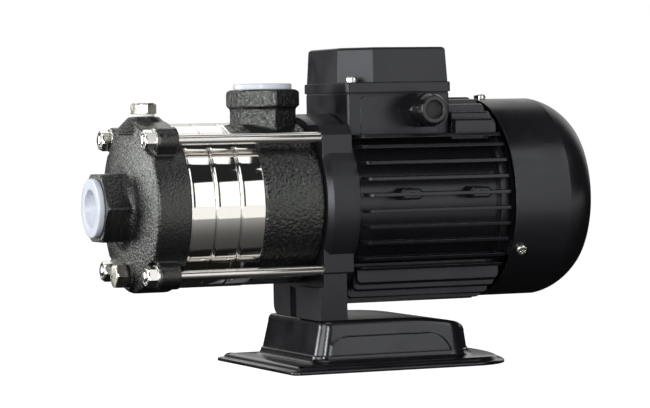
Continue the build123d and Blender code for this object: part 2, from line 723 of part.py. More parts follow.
def pedestal_side_view():
    """Region under the pedestal's crown line, drawn along the shaft and run across it."""
    bottom = FLANGE_TOP_Z
    top = FOOT_Z
    left = PEDESTAL_LEFT_X
    right = left + PEDESTAL_LENGTH
    shoulder = PEDESTAL_SHOULDER
    crown = [(right - back, top - drop) for back, drop in PEDESTAL_CROWN]
    front_share = (top - shoulder - bottom) / (top - bottom)
    front_ridge = left + front_share * PEDESTAL_FRONT_LEAN - 0.1
    front_top = front_ridge + shoulder
    bend = (front_ridge + 0.3 * shoulder, top - 0.3 * shoulder)
    lines = [
        Line((left - shoulder, bottom), (right + shoulder, bottom)),
        Line((right + shoulder, bottom), (right + shoulder, crown[4][1])),
        Line((right + shoulder, crown[4][1]), crown[4]),
        ThreePointArc(crown[4], crown[3], crown[2]),
        ThreePointArc(crown[2], crown[1], crown[0]),
        Line(crown[0], (front_top, top)),
        ThreePointArc((front_top, top), bend, (front_ridge, top - shoulder)),
        Line((front_ridge, top - shoulder), (left - shoulder, top - shoulder)),
        Line((left - shoulder, top - shoulder), (left - shoulder, bottom)),
    ]
    return extrude(Plane.XZ * make_face(Wire(lines)), BASE_WIDTH, both=True)


def pedestal_end_view(grow):
    """Region under the pedestal's rounded shoulders, drawn across the shaft and run along it."""
    bottom = FLANGE_TOP_Z
    top = FOOT_Z
    shoulder = PEDESTAL_SHOULDER
    side_share = (top - shoulder - bottom) / (top - bottom)
    ridge = PEDESTAL_BOTTOM_HALF - side_share * PEDESTAL_SIDE_LEAN + grow + 0.1
    flat = PEDESTAL_TOP_HALF + grow - shoulder
    out = PEDESTAL_BOTTOM_HALF + grow + shoulder
    bend = flat + 0.7 * (ridge - flat)
    lines = [
        Line((-out, bottom), (out, bottom)),
        Line((out, bottom), (out, top - shoulder)),
        Line((out, top - shoulder), (ridge, top - shoulder)),
        ThreePointArc((ridge, top - shoulder), (bend, top - 0.3 * shoulder), (flat, top)),
        Line((flat, top), (-flat, top)),
        ThreePointArc((-flat, top), (-bend, top - 0.3 * shoulder), (-ridge, top - shoulder)),
        Line((-ridge, top - shoulder), (-out, top - shoulder)),
        Line((-out, top - shoulder), (-out, bottom)),
    ]
    start = PEDESTAL_LEFT_X - 2 * shoulder
    return Pos(start, 0, 0) * extrude(Plane.YZ * make_face(Wire(lines)), PEDESTAL_LENGTH + 4 * shoulder)


def pedestal(grow=0.0):
    """Crowned pedestal: leaning walls with a wide round end, under a crown and round shoulders."""
    low = Pos(0, 0, FLANGE_TOP_Z) * pedestal_outline(0.0, grow)
    high = Pos(0, 0, FOOT_Z) * pedestal_outline(1.0, grow)
    return loft([low, high], ruled=True) & pedestal_side_view() & pedestal_end_view(grow)


def pedestal_skirt():
    """Flared foot that carries the pedestal's walls out onto the flange."""
    low = Pos(0, 0, FLANGE_TOP_Z) * pedestal_outline(0.0, PEDESTAL_SKIRT)
    high = Pos(0, 0, FLANGE_TOP_Z + PEDESTAL_SKIRT) * pedestal_outline(0.0, 0.0)
    return loft([low, high], ruled=True)


def side_arch():
    """Arch-shaped region of the two side panels, seen from the side."""
    left = PEDESTAL_LEFT_X + PANEL_FRONT_INSET
    right = left + PANEL_LENGTH
    bottom = FLANGE_TOP_Z
    top = FOOT_Z - PANEL_TOP_DROP
    round_off = top - bottom
    near = 0.29 * round_off
    lines = [
        Line((left, bottom), (right, bottom)),
        ThreePointArc((right, bottom), (right - near, top - near), (right - round_off, top)),
        Line((right - round_off, top), (left + round_off, top)),
        ThreePointArc((left + round_off, top), (left + near, top - near), (left, bottom)),
    ]
    return extrude(Plane.XZ * make_face(Wire(lines)), BASE_WIDTH, both=True)


def base():
    """Pressed base plate: stepped flange, hollow crowned pedestal and two arched side panels."""
    floor_z = -SHAFT_HEIGHT
    plate = Pos(0, 0, floor_z) * extrude(base_outline(0), BASE_PLATE)
    plate = fillet(plate.edges().group_by(Axis.Z)[-1], 0.6 * BASE_PLATE)
    step = Pos(0, 0, floor_z + BASE_PLATE) * extrude(base_outline(BASE_STEP_INSET), BASE_STEP)
    step = fillet(step.edges().group_by(Axis.Z)[-1], 0.8 * BASE_STEP)
    body = plate + step + pedestal() + pedestal_skirt()
    body += pedestal(PANEL_THICKNESS) & side_arch()
    hollow_front = PEDESTAL_LEFT_X + HOLLOW_FRONT_INSET
    body -= block(
        hollow_front,
        hollow_front + HOLLOW_LENGTH,
        -PEDESTAL_TOP_HALF + PEDESTAL_WALL,
        PEDESTAL_TOP_HALF - PEDESTAL_WALL,
        floor_z,
        pedestal_roof(),
    )
    for x in (BOLT_FRONT_X, BOLT_BACK_X):
        for y in (-BOLT_Y, BOLT_Y):
            hole = extrude(Circle(BASE_BOLT_RADIUS), BASE_PLATE + BASE_STEP)
            body -= Pos(x, y, floor_z) * hole
    for side in (-1, 1):
        hole = extrude(Circle(FOOT_SCREW_RADIUS + FREE_GAP), pedestal_roof() - FOOT_Z)
        body -= Pos(FOOT_SCREW_X, side * FOOT_SCREW_Y, FOOT_Z) * hole
    return body


def pedestal_roof():
    """Height of the hollow's ceiling, where the heads of the foot screws seat."""
    return FOOT_Z - PEDESTAL_WALL - 4.0


def foot_screw(side):
    """Cap screw from under the pedestal roof into the bracket foot."""
    shank = extrude(Circle(FOOT_SCREW_RADIUS), FOOT_Z + FOOT_SCREW_DEPTH - pedestal_roof())
    head = Pos(0, 0, -FOOT_SCREW_HEAD) * hex_prism(FOOT_SCREW_AF, FOOT_SCREW_HEAD, bottom=1.0)
    return Pos(FOOT_SCREW_X, side * FOOT_SCREW_Y, pedestal_roof()) * (shank + head)


# Motor

def fin_places():
    """Offsets of the fins between the solid corners, either side of the middle."""
    half = FIN_PITCH / 2
    count = int((MOTOR_CORNER - half) / FIN_PITCH) + 1
    return [side * (half + FIN_PITCH * i) for i in range(count) for side in (-1, 1)]


def fin_section(above):
    """Fins drawn across the shaft: level fins on both sides, upright ones above and below."""
    reach = 2 * FIN_TIP_RADIUS
    edge = MOTOR_CORNER - FIN_THICKNESS / 2
    corner = FIN_TIP_RADIUS - edge
    bars = [Pos(place, 0) * Rectangle(FIN_THICKNESS, reach) for place in fin_places() + [-edge, edge]]
    for side_z in (1, -1) if above else (1,):
        for place in fin_places():
            bars.append(Pos(side_z * reach / 4, place) * Rectangle(reach / 2, FIN_THICKNESS))
        for place in (-edge, edge):
            bars.append(Pos(side_z * (edge + corner / 2), place) * Rectangle(corner, FIN_THICKNESS))
    return Sketch() + bars - Circle((MOTOR_BORE_RADIUS + MOTOR_SHELL_RADIUS) / 2)


def motor_housing():
    """Aluminium housing: round shell, long cooling fins with rounded ends and a ring at the back."""
    start = X_MOTOR
    end = X_FAN_COVER - 1.0
    fins_start = start + FIN_START_GAP
    fins_end = X_FAN_COVER - FIN_END_GAP
    box_back = BOX_FRONT_X + BOX_LENGTH + FREE_GAP
    envelope = rod(fins_start, fins_end, FIN_TIP_RADIUS)
    envelope = fillet(envelope.edges().filter_by(GeomType.CIRCLE), FIN_CORNER_RADIUS)
    fins = along_x(extrude(fin_section(above=False), box_back - fins_start), fins_start)
    fins += along_x(extrude(fin_section(above=True), fins_end - box_back), box_back)
    body = turned(
        (start, MOTOR_BORE_RADIUS),
        (start, MOTOR_SHELL_RADIUS),
        (end - END_RING_LENGTH, MOTOR_SHELL_RADIUS),
        (end - END_RING_LENGTH, END_RING_RADIUS),
        (end, END_RING_RADIUS),
        (end, MOTOR_BORE_RADIUS),
    )
    body += fins & envelope
    for x in CLIP_BOSS_X:
        body += clip_boss(x, FIN_PITCH / 2)
    return body


def clip_boss(x, z):
    """Long six-sided boss around a fin, with a small blind hole in its face."""
    half = CLIP_BOSS_LENGTH / 2
    tall = CLIP_BOSS_HEIGHT / 2
    points = [
        (x - half, z),
        (x - half + tall, z + tall),
        (x + half - tall, z + tall),
        (x + half, z),
        (x + half - tall, z - tall),
        (x - half + tall, z - tall),
    ]
    face = Plane.XZ * make_face(Polyline(*points, close=True))
    tip = sqrt(FIN_TIP_RADIUS**2 - z**2) - CLIP_BOSS_SETBACK
    root = (MOTOR_BORE_RADIUS + MOTOR_SHELL_RADIUS) / 2
    body = Pos(0, -root, 0) * extrude(face, tip - root)
    body = chamfer(body.edges().group_by(Axis.Y)[0], CLIP_BOSS_EDGE)
    return body - toward_viewer(extrude(Circle(1.4), 5), x, -tip + 4, z)


def stator_core():
    return pipe(STATOR_X, STATOR_X + STATOR_LENGTH, STATOR_BORE_RADIUS, MOTOR_BORE_RADIUS)


def winding_end(start, outward):
    """Varnished winding head: rounded ring standing off one end of the core."""
    length = WINDING_LENGTH * outward
    inner = STATOR_BORE_RADIUS + 4
    outer = MOTOR_BORE_RADIUS - 8
    return turned(
        (start, inner),
        (start + length * 0.7, inner),
        (start + length, inner + 3),
        (start + length, outer - 5),
        (start + length * 0.6, outer),
        (start, outer),
    )


def rear_endshield():
    """Rear endshield: register, wall with bearing hub, and the rim that carries the fan cover."""
    end = X_FAN_COVER - 1.0
    hub_start = REAR_BEARING_X - 1
    rim = FAN_COVER_RADIUS - FAN_COVER_WALL - FIT_GAP
    rim_end = COVER_SCREW_X + 6
    body = pipe(end - SPIGOT_LENGTH, end, MOTOR_BORE_RADIUS - 4, MOTOR_BORE_RADIUS - FIT_GAP)
    body += pipe(end, end + ENDSHIELD_THICKNESS, MOTOR_SHAFT_RADIUS + 1, MOTOR_SHELL_RADIUS)
    body += pipe(hub_start, end + ENDSHIELD_THICKNESS, MOTOR_SHAFT_RADIUS + 1, BEARING_OUTER_RADIUS + 4)
    body -= rod(hub_start - 1, REAR_BEARING_X + BEARING_WIDTH, BEARING_OUTER_RADIUS)
    for angle in COVER_SCREW_ANGLES:
        lug = block(end, rim_end, -6, 6, MOTOR_SHELL_RADIUS - 4, rim) & rod(end, rim_end, rim)
        lug -= Pos(COVER_SCREW_X, 0, rim - 8) * extrude(Circle(2.5), 10)
        body += Rot(angle - 90, 0, 0) * lug
    return body


def bearing_outer(x0):
    """Outer ring with both shields."""
    race = MOTOR_SHAFT_RADIUS + BEARING_RACE
    ring = pipe(x0, x0 + BEARING_WIDTH, BEARING_OUTER_RADIUS - BEARING_RACE, BEARING_OUTER_RADIUS)
    shield = race + FREE_GAP
    ring += pipe(x0 + 0.5, x0 + 1.2, shield, BEARING_OUTER_RADIUS - 1)
    ring += pipe(x0 + BEARING_WIDTH - 1.2, x0 + BEARING_WIDTH - 0.5, shield, BEARING_OUTER_RADIUS - 1)
    return ring


def bearing_inner(x0):
    return pipe(x0, x0 + BEARING_WIDTH, MOTOR_SHAFT_RADIUS, MOTOR_SHAFT_RADIUS + BEARING_RACE)


def fan_cover_form(inset):
    """Solid form of the cover, or of the room inside it when set in by the wall."""
    outer = FAN_COVER_RADIUS - inset
    rear = FAN_COVER_REAR_RADIUS - inset
    end = X_REAR - inset
    bend = end - FAN_COVER_ROUND_LENGTH
    edge = 1.0
    run = end - edge - bend
    fall = outer - rear
    chord = sqrt(run**2 + fall**2)
    middle_x = bend + run / 2 + FAN_COVER_BULGE * fall / chord
    middle_r = rear + fall / 2 + FAN_COVER_BULGE * run / chord
    lines = [
        Line((X_FAN_COVER, 0), (X_FAN_COVER, outer)),
        Line((X_FAN_COVER, outer), (bend, outer)),
        ThreePointArc((bend, outer), (middle_x, middle_r), (end - edge, rear)),
        ThreePointArc((end - edge, rear), (end - 0.25 * edge, rear - 1.7 * edge), (end, rear - 3.5 * edge)),
        Line((end, rear - 3.5 * edge), (end, 0)),
        Line((end, 0), (X_FAN_COVER, 0)),
    ]
    return revolve(make_face(Wire(lines)), axis=Axis.X)


def fan_cover():
    """Drawn steel fan cover: cylinder, rounded end and a rear wall with ring slots."""
    outer = FAN_COVER_RADIUS
    wall = FAN_COVER_WALL
    body = fan_cover_form(0.0) - fan_cover_form(wall)
    slots = None
    for radius in GRILLE_RINGS:
        ring = Circle(radius + GRILLE_SLOT / 2) - Circle(radius - GRILLE_SLOT / 2)
        slots = ring if slots is None else slots + ring
    for i in range(GRILLE_SPOKES // 2):
        slots -= Rot(0, 0, 180 / (GRILLE_SPOKES // 2) * i) * Rectangle(2 * outer, GRILLE_SPOKE_WIDTH)
    body -= along_x(extrude(slots, 3 * wall), X_REAR - 2 * wall)
    for angle in COVER_SCREW_ANGLES:
        hole = Pos(COVER_SCREW_X, 0, outer - 6) * extrude(Circle(2.6), 8)
        body -= Rot(angle - 90, 0, 0) * hole
    return body


def fan_cover_screw(angle):
    """Pan-head screw with a cross recess, standing on the cover."""
    shank = extrude(Circle(2.2), -7.5)
    head = extrude(Circle(COVER_SCREW_RADIUS), 3.2)
    head = fillet(head.edges().group_by(Axis.Z)[-1], 1.6)
    recess = Rectangle(4.4, 0.9) + Rectangle(0.9, 4.4)
    head -= Pos(0, 0, 3.2) * extrude(recess, -1.4)
    screw = Pos(COVER_SCREW_X, 0, FAN_COVER_RADIUS + 0.1) * (shank + head)
    return Rot(angle - 90, 0, 0) * screw


def cooling_fan():
    """Straight-bladed fan: hub, back plate and radial blades."""
    hub = pipe(FAN_X, FAN_X + FAN_LENGTH, MOTOR_SHAFT_RADIUS, FAN_HUB_RADIUS)
    plate = pipe(FAN_X, FAN_X + FAN_BLADE, MOTOR_SHAFT_RADIUS, FAN_RADIUS - 8)
    body = hub + plate
    for i in range(FAN_BLADES):
        outline = Polyline(
            (FAN_X, FAN_HUB_RADIUS - 2),
            (FAN_X, FAN_RADIUS),
            (FAN_X + FAN_LENGTH * 0.8, FAN_RADIUS),
            (FAN_X + FAN_LENGTH, FAN_RADIUS * 0.7),
            (FAN_X + FAN_LENGTH, FAN_HUB_RADIUS - 2),
            close=True,
        )
        blade = extrude(Plane.XZ * make_face(outline), FAN_BLADE / 2, both=True)
        body += Rot(360 / FAN_BLADES * i, 0, 0) * blade
    return body


# Turning parts

def impeller_stack():
    """Start of each stage along the shaft."""
    return [X_STAGES + STAGE_PITCH * i for i in range(STAGE_COUNT)]


def shaft():
    """Pump and motor shaft: stub for the impellers, seal length and rotor length."""
    front = X_STAGES - 9.0
    step = X_CASING + 4
    end = FAN_X + FAN_LENGTH + 2
    return turned(
        (front, 0),
        (front, SHAFT_RADIUS - 1),
        (front + 1, SHAFT_RADIUS),
        (step, SHAFT_RADIUS),
        (step, MOTOR_SHAFT_RADIUS),
        (end - 1, MOTOR_SHAFT_RADIUS),
        (end, MOTOR_SHAFT_RADIUS - 1),
        (end, 0),
    )


def impeller_spacer(x0):
    """Sleeve from the hub of one impeller to the next, or to the shaft shoulder."""
    start = impeller_end(x0)
    last = x0 + STAGE_PITCH > X_CASING - 1
    end = X_CASING + 4 if last else x0 + STAGE_PITCH + STAGE_WEB + IMPELLER_FRONT_GAP
    return pipe(start, end, SHAFT_RADIUS, HUB_RADIUS)


def impeller_nut():
    """Lock nut and washer that clamp the impellers on the shaft."""
    start = X_STAGES + STAGE_WEB + IMPELLER_FRONT_GAP
    nut = hex_prism(17, 7, top=1.2) - extrude(Circle(SHAFT_RADIUS), 7)
    body = against_x(nut, start - 1.5)
    return body + pipe(start - 1.5, start, SHAFT_RADIUS, HUB_RADIUS)


def rotor_core():
    """Laminated rotor with its two cast end rings."""
    radius = STATOR_BORE_RADIUS - AIR_GAP
    start = STATOR_X
    end = STATOR_X + STATOR_LENGTH
    body = pipe(start, end, MOTOR_SHAFT_RADIUS, radius)
    body += pipe(start - ROTOR_END_RING, start, radius - 9, radius - 1)
    body += pipe(end, end + ROTOR_END_RING, radius - 9, radius - 1)
    return body


def water_slinger():
    """Rubber slinger ring on the shaft between seal and bearing."""
    start = X_BRACKET + 2
    bore = MOTOR_SHAFT_RADIUS
    return turned((start, bore), (start, bore + 0.9), (start + 8, bore + 0.9), (start + 8, bore))


# Terminal box

def box_centre_x():
    return BOX_FRONT_X + BOX_LENGTH / 2


def lid_screw_places():
    """The two lid screws stand in opposite corner notches."""
    x = BOX_LENGTH / 2 - LID_SCREW_INSET_X
    y = BOX_HALF_WIDTH - LID_SCREW_INSET_Y
    return [(box_centre_x() - x, -y), (box_centre_x() + x, y)]


def terminal_box():
    """Moulded box body on the round shell, with screw posts and a gland panel."""
    x0, x1 = BOX_FRONT_X, BOX_FRONT_X + BOX_LENGTH
    half = BOX_HALF_WIDTH
    wall = BOX_WALL
    outer = block(x0, x1, -half, half, MOTOR_CORNER, BOX_TOP_Z)
    outer = fillet(outer.edges().filter_by(Axis.Z), 2.0)
    panel_top = BOX_TOP_Z - 1.5
    panel = block(x0 + 9.7, x0 + 9.7 + BOX_PANEL_LENGTH, -half - BOX_PANEL, -half, MOTOR_CORNER, panel_top)
    panel = fillet(panel.edges().filter_by(Axis.Y).sort_by(Axis.Z)[-2:].sort_by(Axis.X)[0], 4.0)
    outer += panel
    inside = block(x0 + wall, x1 - wall, -half + wall, half - wall, MOTOR_CORNER, BOX_TOP_Z)
    for x, y in lid_screw_places():
        inside -= Pos(x, y, MOTOR_CORNER) * extrude(Circle(4.2), BOX_TOP_Z)
    body = outer - (inside - rod(x0, x1, BOX_FLOOR_RADIUS))
    body -= rod(x0 - 1, x1 + 1, MOTOR_SHELL_RADIUS + FIT_GAP)
    for x, y in lid_screw_places():
        body -= Pos(x, y, BOX_TOP_Z) * extrude(Circle(LID_SCREW_RADIUS + FREE_GAP), -9)
    body -= toward_viewer(extrude(Circle(GLAND_NECK_RADIUS + FIT_GAP), wall + BOX_PANEL + 2), GLAND_X, -half + wall + 1, GLAND_Z)
    return body


def lid_gasket():
    """Flat gasket between the box and its lid."""
    inset = 0.7
    half = BOX_HALF_WIDTH - inset
    length = BOX_LENGTH / 2 - inset
    cx = box_centre_x()
    ring = Pos(cx, 0) * (Rectangle(2 * length, 2 * half) - Rectangle(2 * length - 4, 2 * half - 4))
    for x, y in lid_screw_places():
        ring += Pos(x, y) * Circle(3.6)
        ring -= Pos(x, y) * Circle(LID_SCREW_RADIUS + FREE_GAP)
    return Pos(0, 0, BOX_TOP_Z) * extrude(ring, GASKET)


def lid_outline(inset):
    """Hood outline seen from above, with a notch across two opposite corners."""
    x = BOX_LENGTH / 2 - 1 - inset
    y = BOX_HALF_WIDTH - 0.7 - inset
    notch = LID_NOTCH - 0.6 * inset
    return Polyline(
        (-x + notch, -y),
        (x, -y),
        (x, y - notch),
        (x - notch, y),
        (-x, y),
        (-x, -y + notch),
        close=True,
    )


def terminal_lid():
    """Deep lid: rim, drafted hood with two cut corners, hollow inside."""
    cx = box_centre_x()
    bottom = BOX_TOP_Z + GASKET
    rim_top = bottom + LID_RIM
    length = BOX_LENGTH + 2 * LID_OVERHANG
    width = 2 * (BOX_HALF_WIDTH + LID_OVERHANG)
    rim = Pos(cx, 0, bottom) * extrude(Rectangle(length, width), LID_RIM)
    rim = fillet(rim.edges().filter_by(Axis.Z), 2.5)
    rim = fillet(rim.edges().group_by(Axis.Z)[-1], 1.0)
    hood_height = LID_TOP_Z - rim_top
    taper = degrees(atan(LID_DRAFT / hood_height))
    hood = Pos(cx, 0, rim_top) * extrude(make_face(lid_outline(0)), hood_height, taper=taper)
    hood = fillet(hood.edges().group_by(Axis.Z)[-1], LID_EDGE)
    hollow = extrude(make_face(lid_outline(LID_WALL)), LID_TOP_Z - LID_WALL - bottom, taper=taper)
    hollow = Pos(cx, 0, bottom) * hollow
    body = rim + hood - hollow
    for x, y in lid_screw_places():
        body -= Pos(x, y, bottom) * extrude(Circle(LID_SCREW_RADIUS + FREE_GAP), LID_RIM)
    return body


def lid_screw(x, y):
    """Pan-head lid screw on its spring washer."""
    seat = BOX_TOP_Z + GASKET + LID_RIM
    shank = extrude(Circle(LID_SCREW_RADIUS), -(LID_RIM + GASKET + 7.5))
    washer = extrude(Circle(LID_SCREW_HEAD_RADIUS - 0.4), 1.0)
    head = Pos(0, 0, 1.0) * extrude(Circle(LID_SCREW_HEAD_RADIUS), LID_SCREW_HEAD - 1.0)
    head = fillet(head.edges().group_by(Axis.Z)[-1], 1.4)
    recess = Rectangle(4.2, 0.9) + Rectangle(0.9, 4.2)
    head -= Pos(0, 0, LID_SCREW_HEAD) * extrude(recess, -1.4)
    return Pos(x, y, seat) * (shank + washer + head)


def terminal_block():
    """Six-way terminal board standing on the curved box floor."""
    x0 = terminal_block_x() - BOARD_LENGTH / 2
    x1 = x0 + BOARD_LENGTH
    half = BOARD_WIDTH / 2
    rib = BOARD_RIB / 2
    rib_top = TERMINAL_BOARD_Z + BOARD_RIB_HEIGHT
    body = block(x0, x1, -half, half, MOTOR_CORNER, TERMINAL_BOARD_Z)
    for y in (-STUD_PITCH / 2, STUD_PITCH / 2):
        body += block(x0, x1, y - rib, y + rib, TERMINAL_BOARD_Z - 1, rib_top)
    return body - rod(x0 - 1, x1 + 1, BOX_FLOOR_RADIUS)


def terminal_block_x():
    return BOX_FRONT_X + BOARD_FROM_FRONT


def terminal_stud(x, y):
    """Brass terminal stud with its nut."""
    nut = hex_prism(STUD_NUT_AF, STUD_NUT_HEIGHT, top=0.6)
    return Pos(x, y, TERMINAL_BOARD_Z) * (extrude(Circle(STUD_RADIUS), STUD_HEIGHT) + nut)


def stud_places():
    rows = (terminal_block_x() - STUD_ROW_OFFSET, terminal_block_x() + STUD_ROW_OFFSET)
    return [(x, y) for x in rows for y in (-STUD_PITCH, 0, STUD_PITCH)]


def run_capacitor():
    """Round run capacitor under the hood, lying in a saddle that stands on the box floor."""
    x = BOX_FRONT_X + BOX_LENGTH - 20
    y = -4.0
    z = BOX_FLOOR_RADIUS + CAPACITOR_RADIUS + 4
    half = CAPACITOR_LENGTH / 2
    can = extrude(Circle(CAPACITOR_RADIUS), half, both=True)
    can = fillet(can.edges(), 1.5)
    body = Location((x, y, z), (90, 0, 0)) * can
    saddle = block(x - 7, x + 7, y - half + 4, y + half - 4, MOTOR_CORNER, BOX_FLOOR_RADIUS + 8)
    return body + (saddle - rod(x - 8, x + 8, BOX_FLOOR_RADIUS))


# Cable gland

def gland_place(shape):
    return toward_viewer(shape, GLAND_X, -BOX_HALF_WIDTH - BOX_PANEL, GLAND_Z)


def gland_body():
    """Gland body: flange, spanner hexagon and the neck through the box wall."""
    flange = extrude(Circle(GLAND_FLANGE_RADIUS), GLAND_FLANGE)
    flange = fillet(flange.edges().group_by(Axis.Z)[-1], 0.8)
    hexagon = Pos(0, 0, GLAND_FLANGE) * hex_prism(GLAND_AF, GLAND_BODY, top=1.0)
    neck = extrude(Circle(GLAND_NECK_RADIUS), -(BOX_WALL + BOX_PANEL + 3))
    stub = extrude(Circle(GLAND_NECK_RADIUS), GLAND_FLANGE + GLAND_BODY + GLAND_SKIRT)
    body = flange + hexagon + neck + stub
    body -= Pos(0, 0, -12) * extrude(Circle(GLAND_HOLE_RADIUS + 0.5), 60)
    return gland_place(body)


def gland_nut():
    """Domed compression nut: hexagon skirt running into a round nose."""
    start = GLAND_FLANGE + GLAND_BODY
    end = start + GLAND_NUT
    skirt = GLAND_SKIRT_RADIUS
    skirt_end = start + GLAND_SKIRT
    outer = GLAND_NUT_RADIUS
    shoulder = skirt_end + skirt - outer
    nose = GLAND_NOSE_RADIUS
    nose_start = end - GLAND_NOSE_ROUND
    lines = [
        Line((0, start), (skirt, start)),
        Line((skirt, start), (skirt, skirt_end)),
        Line((skirt, skirt_end), (outer, shoulder)),
        Line((outer, shoulder), (outer - FREE_GAP, nose_start)),
        ThreePointArc((outer - FREE_GAP, nose_start), ((outer + nose) / 2 + 0.4, end - 1.6), (nose, end)),
        Line((nose, end), (0, end)),
        Line((0, end), (0, start)),
    ]
    dome = revolve(Plane.XZ * make_face(Wire(lines)), axis=Axis.Z)
    body = dome & Pos(0, 0, start) * extrude(RegularPolygon(GLAND_AF / sqrt(3) + 0.6, 6), GLAND_NUT)
    body -= extrude(Circle(GLAND_NECK_RADIUS + FIT_GAP), skirt_end + 0.5)
    body -= extrude(Circle(GLAND_SEAL_RADIUS + FIT_GAP), end - GLAND_NOSE_WALL)
    body -= extrude(Circle(GLAND_HOLE_RADIUS + FREE_GAP), end + 1)
    return gland_place(body)


def gland_seal():
    """Rubber sealing ring inside the nut, closed by its blanking disc until a cable is fitted."""
    start = GLAND_FLANGE + GLAND_BODY + GLAND_SKIRT + 2 * FREE_GAP
    end = GLAND_FLANGE + GLAND_BODY + GLAND_NUT - GLAND_NOSE_WALL - FREE_GAP
    disc_face = end - GLAND_DISC_SETBACK
    ring = Pos(0, 0, start) * extrude(Circle(GLAND_SEAL_RADIUS), end - start)
    bore = Circle(GLAND_HOLE_RADIUS - 0.4)
    ring -= Pos(0, 0, start) * extrude(bore, disc_face - GLAND_DISC - start)
    ring -= Pos(0, 0, disc_face) * extrude(bore, end - disc_face)
    return gland_place(ring)


def save(name, *solids):
    """Write one named sub-part, moved from the shaft line to the part's own origin."""
    group = solids[0] if len(solids) == 1 else Compound(children=list(solids))
    export_step(group.moved(PLACE), f"parts/{name}.step")


def main():
    os.makedirs("parts", exist_ok=True)
    save("base_plate", base())
    save("foot_screws", foot_screw(-1), foot_screw(1))
    save("motor_bracket", motor_bracket())
    save("discharge_casing", discharge_casing())
    save("suction_cover", suction_cover())
    save("tie_rods", *[tie_rod(y, z) for y, z in ROD_PLACES])
    save("tie_rod_nuts", *[tie_rod_nut(y, z) for y, z in ROD_PLACES])
    save("tie_rod_washers", *[tie_rod_washer(y, z) for y, z in ROD_PLACES])
    for number, x0 in enumerate(impeller_stack(), start=1):
        save(f"stage_casing_{number}", stage_casing(x0))
        save(f"diffuser_{number}", diffuser(x0))
        save(f"impeller_{number}", impeller(x0))
    joints = impeller_stack() + [X_CASING]
    save("casing_seal_rings", *[seal_ring(x0) for x0 in joints])
    save("impeller_spacers", *[impeller_spacer(x0) for x0 in impeller_stack()])
    save("impeller_nut", impeller_nut())
    save("shaft", shaft())
    save("seal_seat", seal_seat())
    save("seal_head", seal_head())
    save("water_slinger", water_slinger())
    save("front_bearing_outer", bearing_outer(FRONT_BEARING_X))
    save("front_bearing_inner", bearing_inner(FRONT_BEARING_X))
    save("rear_bearing_outer", bearing_outer(REAR_BEARING_X))
    save("rear_bearing_inner", bearing_inner(REAR_BEARING_X))
    save("motor_housing", motor_housing())
    save("stator_core", stator_core())
    save("stator_windings", winding_end(STATOR_X, -1), winding_end(STATOR_X + STATOR_LENGTH, 1))
    save("rotor_core", rotor_core())
    save("rear_endshield", rear_endshield())
    save("cooling_fan", cooling_fan())
    save("fan_cover", fan_cover())
    save("fan_cover_screws", *[fan_cover_screw(angle) for angle in COVER_SCREW_ANGLES])
    save("terminal_box", terminal_box())
    save("terminal_block", terminal_block())
    save("terminal_studs", *[terminal_stud(x, y) for x, y in stud_places()])
    save("run_capacitor", run_capacitor())
    save("lid_gasket", lid_gasket())
    save("terminal_lid", terminal_lid())
    save("lid_screws", *[lid_screw(x, y) for x, y in lid_screw_places()])
    save("gland_body", gland_body())
    save("gland_nut", gland_nut())
    save("gland_seal", gland_seal())
    save("vent_plug", Pos(VENT_X, 0, VENT_BOSS_TOP) * plug())
    save("vent_washer", Pos(VENT_X, 0, VENT_BOSS_TOP) * plug_washer())
    save("drain_plug", against_x(plug(), DRAIN_SEAT_X, 0, DRAIN_Z))
    save("drain_washer", against_x(plug_washer(), DRAIN_SEAT_X, 0, DRAIN_Z))
    save("suction_cap", against_x(port_cap(), -SUCTION_HEX_FRONT))
    save("discharge_cap", Pos(OUTLET_X, 0, OUTLET_TOP) * port_cap())


main()
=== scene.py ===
"""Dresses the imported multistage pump: finishes, fine shapes, studio light and camera.

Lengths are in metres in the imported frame: +X along the shaft towards the fan, +Y away from
the cable gland, +Z up, with the origin under the middle of the base.
"""

import math

import bmesh
import bpy
import numpy as np
from mathutils import Matrix, Vector


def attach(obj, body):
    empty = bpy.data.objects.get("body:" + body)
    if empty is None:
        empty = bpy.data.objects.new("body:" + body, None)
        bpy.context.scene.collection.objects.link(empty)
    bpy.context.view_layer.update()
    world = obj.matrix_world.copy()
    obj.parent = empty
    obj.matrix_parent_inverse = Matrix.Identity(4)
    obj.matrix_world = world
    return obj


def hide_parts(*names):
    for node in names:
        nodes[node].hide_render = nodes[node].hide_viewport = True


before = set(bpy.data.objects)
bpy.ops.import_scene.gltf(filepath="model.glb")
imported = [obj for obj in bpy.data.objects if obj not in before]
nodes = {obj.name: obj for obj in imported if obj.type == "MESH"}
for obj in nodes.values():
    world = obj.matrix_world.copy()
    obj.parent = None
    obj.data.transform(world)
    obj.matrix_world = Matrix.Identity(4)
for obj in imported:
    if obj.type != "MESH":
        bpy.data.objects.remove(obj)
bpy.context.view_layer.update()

MM = 0.001
RIM_FRONT_X = -172.0
SHAFT_HEIGHT = 114.0


# Shader nodes

def add(tree, kind, inputs=None, **settings):
    """Add a node, set its properties, and set or link its inputs by name or number."""
    made = tree.nodes.new(kind)
    for key, value in settings.items():
        setattr(made, key, value)
    for key, value in (inputs or {}).items():
        if isinstance(value, bpy.types.NodeSocket):
            tree.links.new(value, made.inputs[key])
        else:
            made.inputs[key].default_value = value
    return made


def shader_group(name, inputs, outputs):
    """Empty shader group with its named inputs (name, kind, value) and outputs (name, kind)."""
    group = bpy.data.node_groups.new(name, "ShaderNodeTree")
    for label, kind, value in inputs:
        socket = group.interface.new_socket(name=label, in_out="INPUT", socket_type=kind)
        socket.default_value = value
    for label, kind in outputs:
        group.interface.new_socket(name=label, in_out="OUTPUT", socket_type=kind)
    return group, group.nodes.new("NodeGroupInput").outputs, group.nodes.new("NodeGroupOutput")


FLOAT, VECTOR = "NodeSocketFloat", "NodeSocketVector"


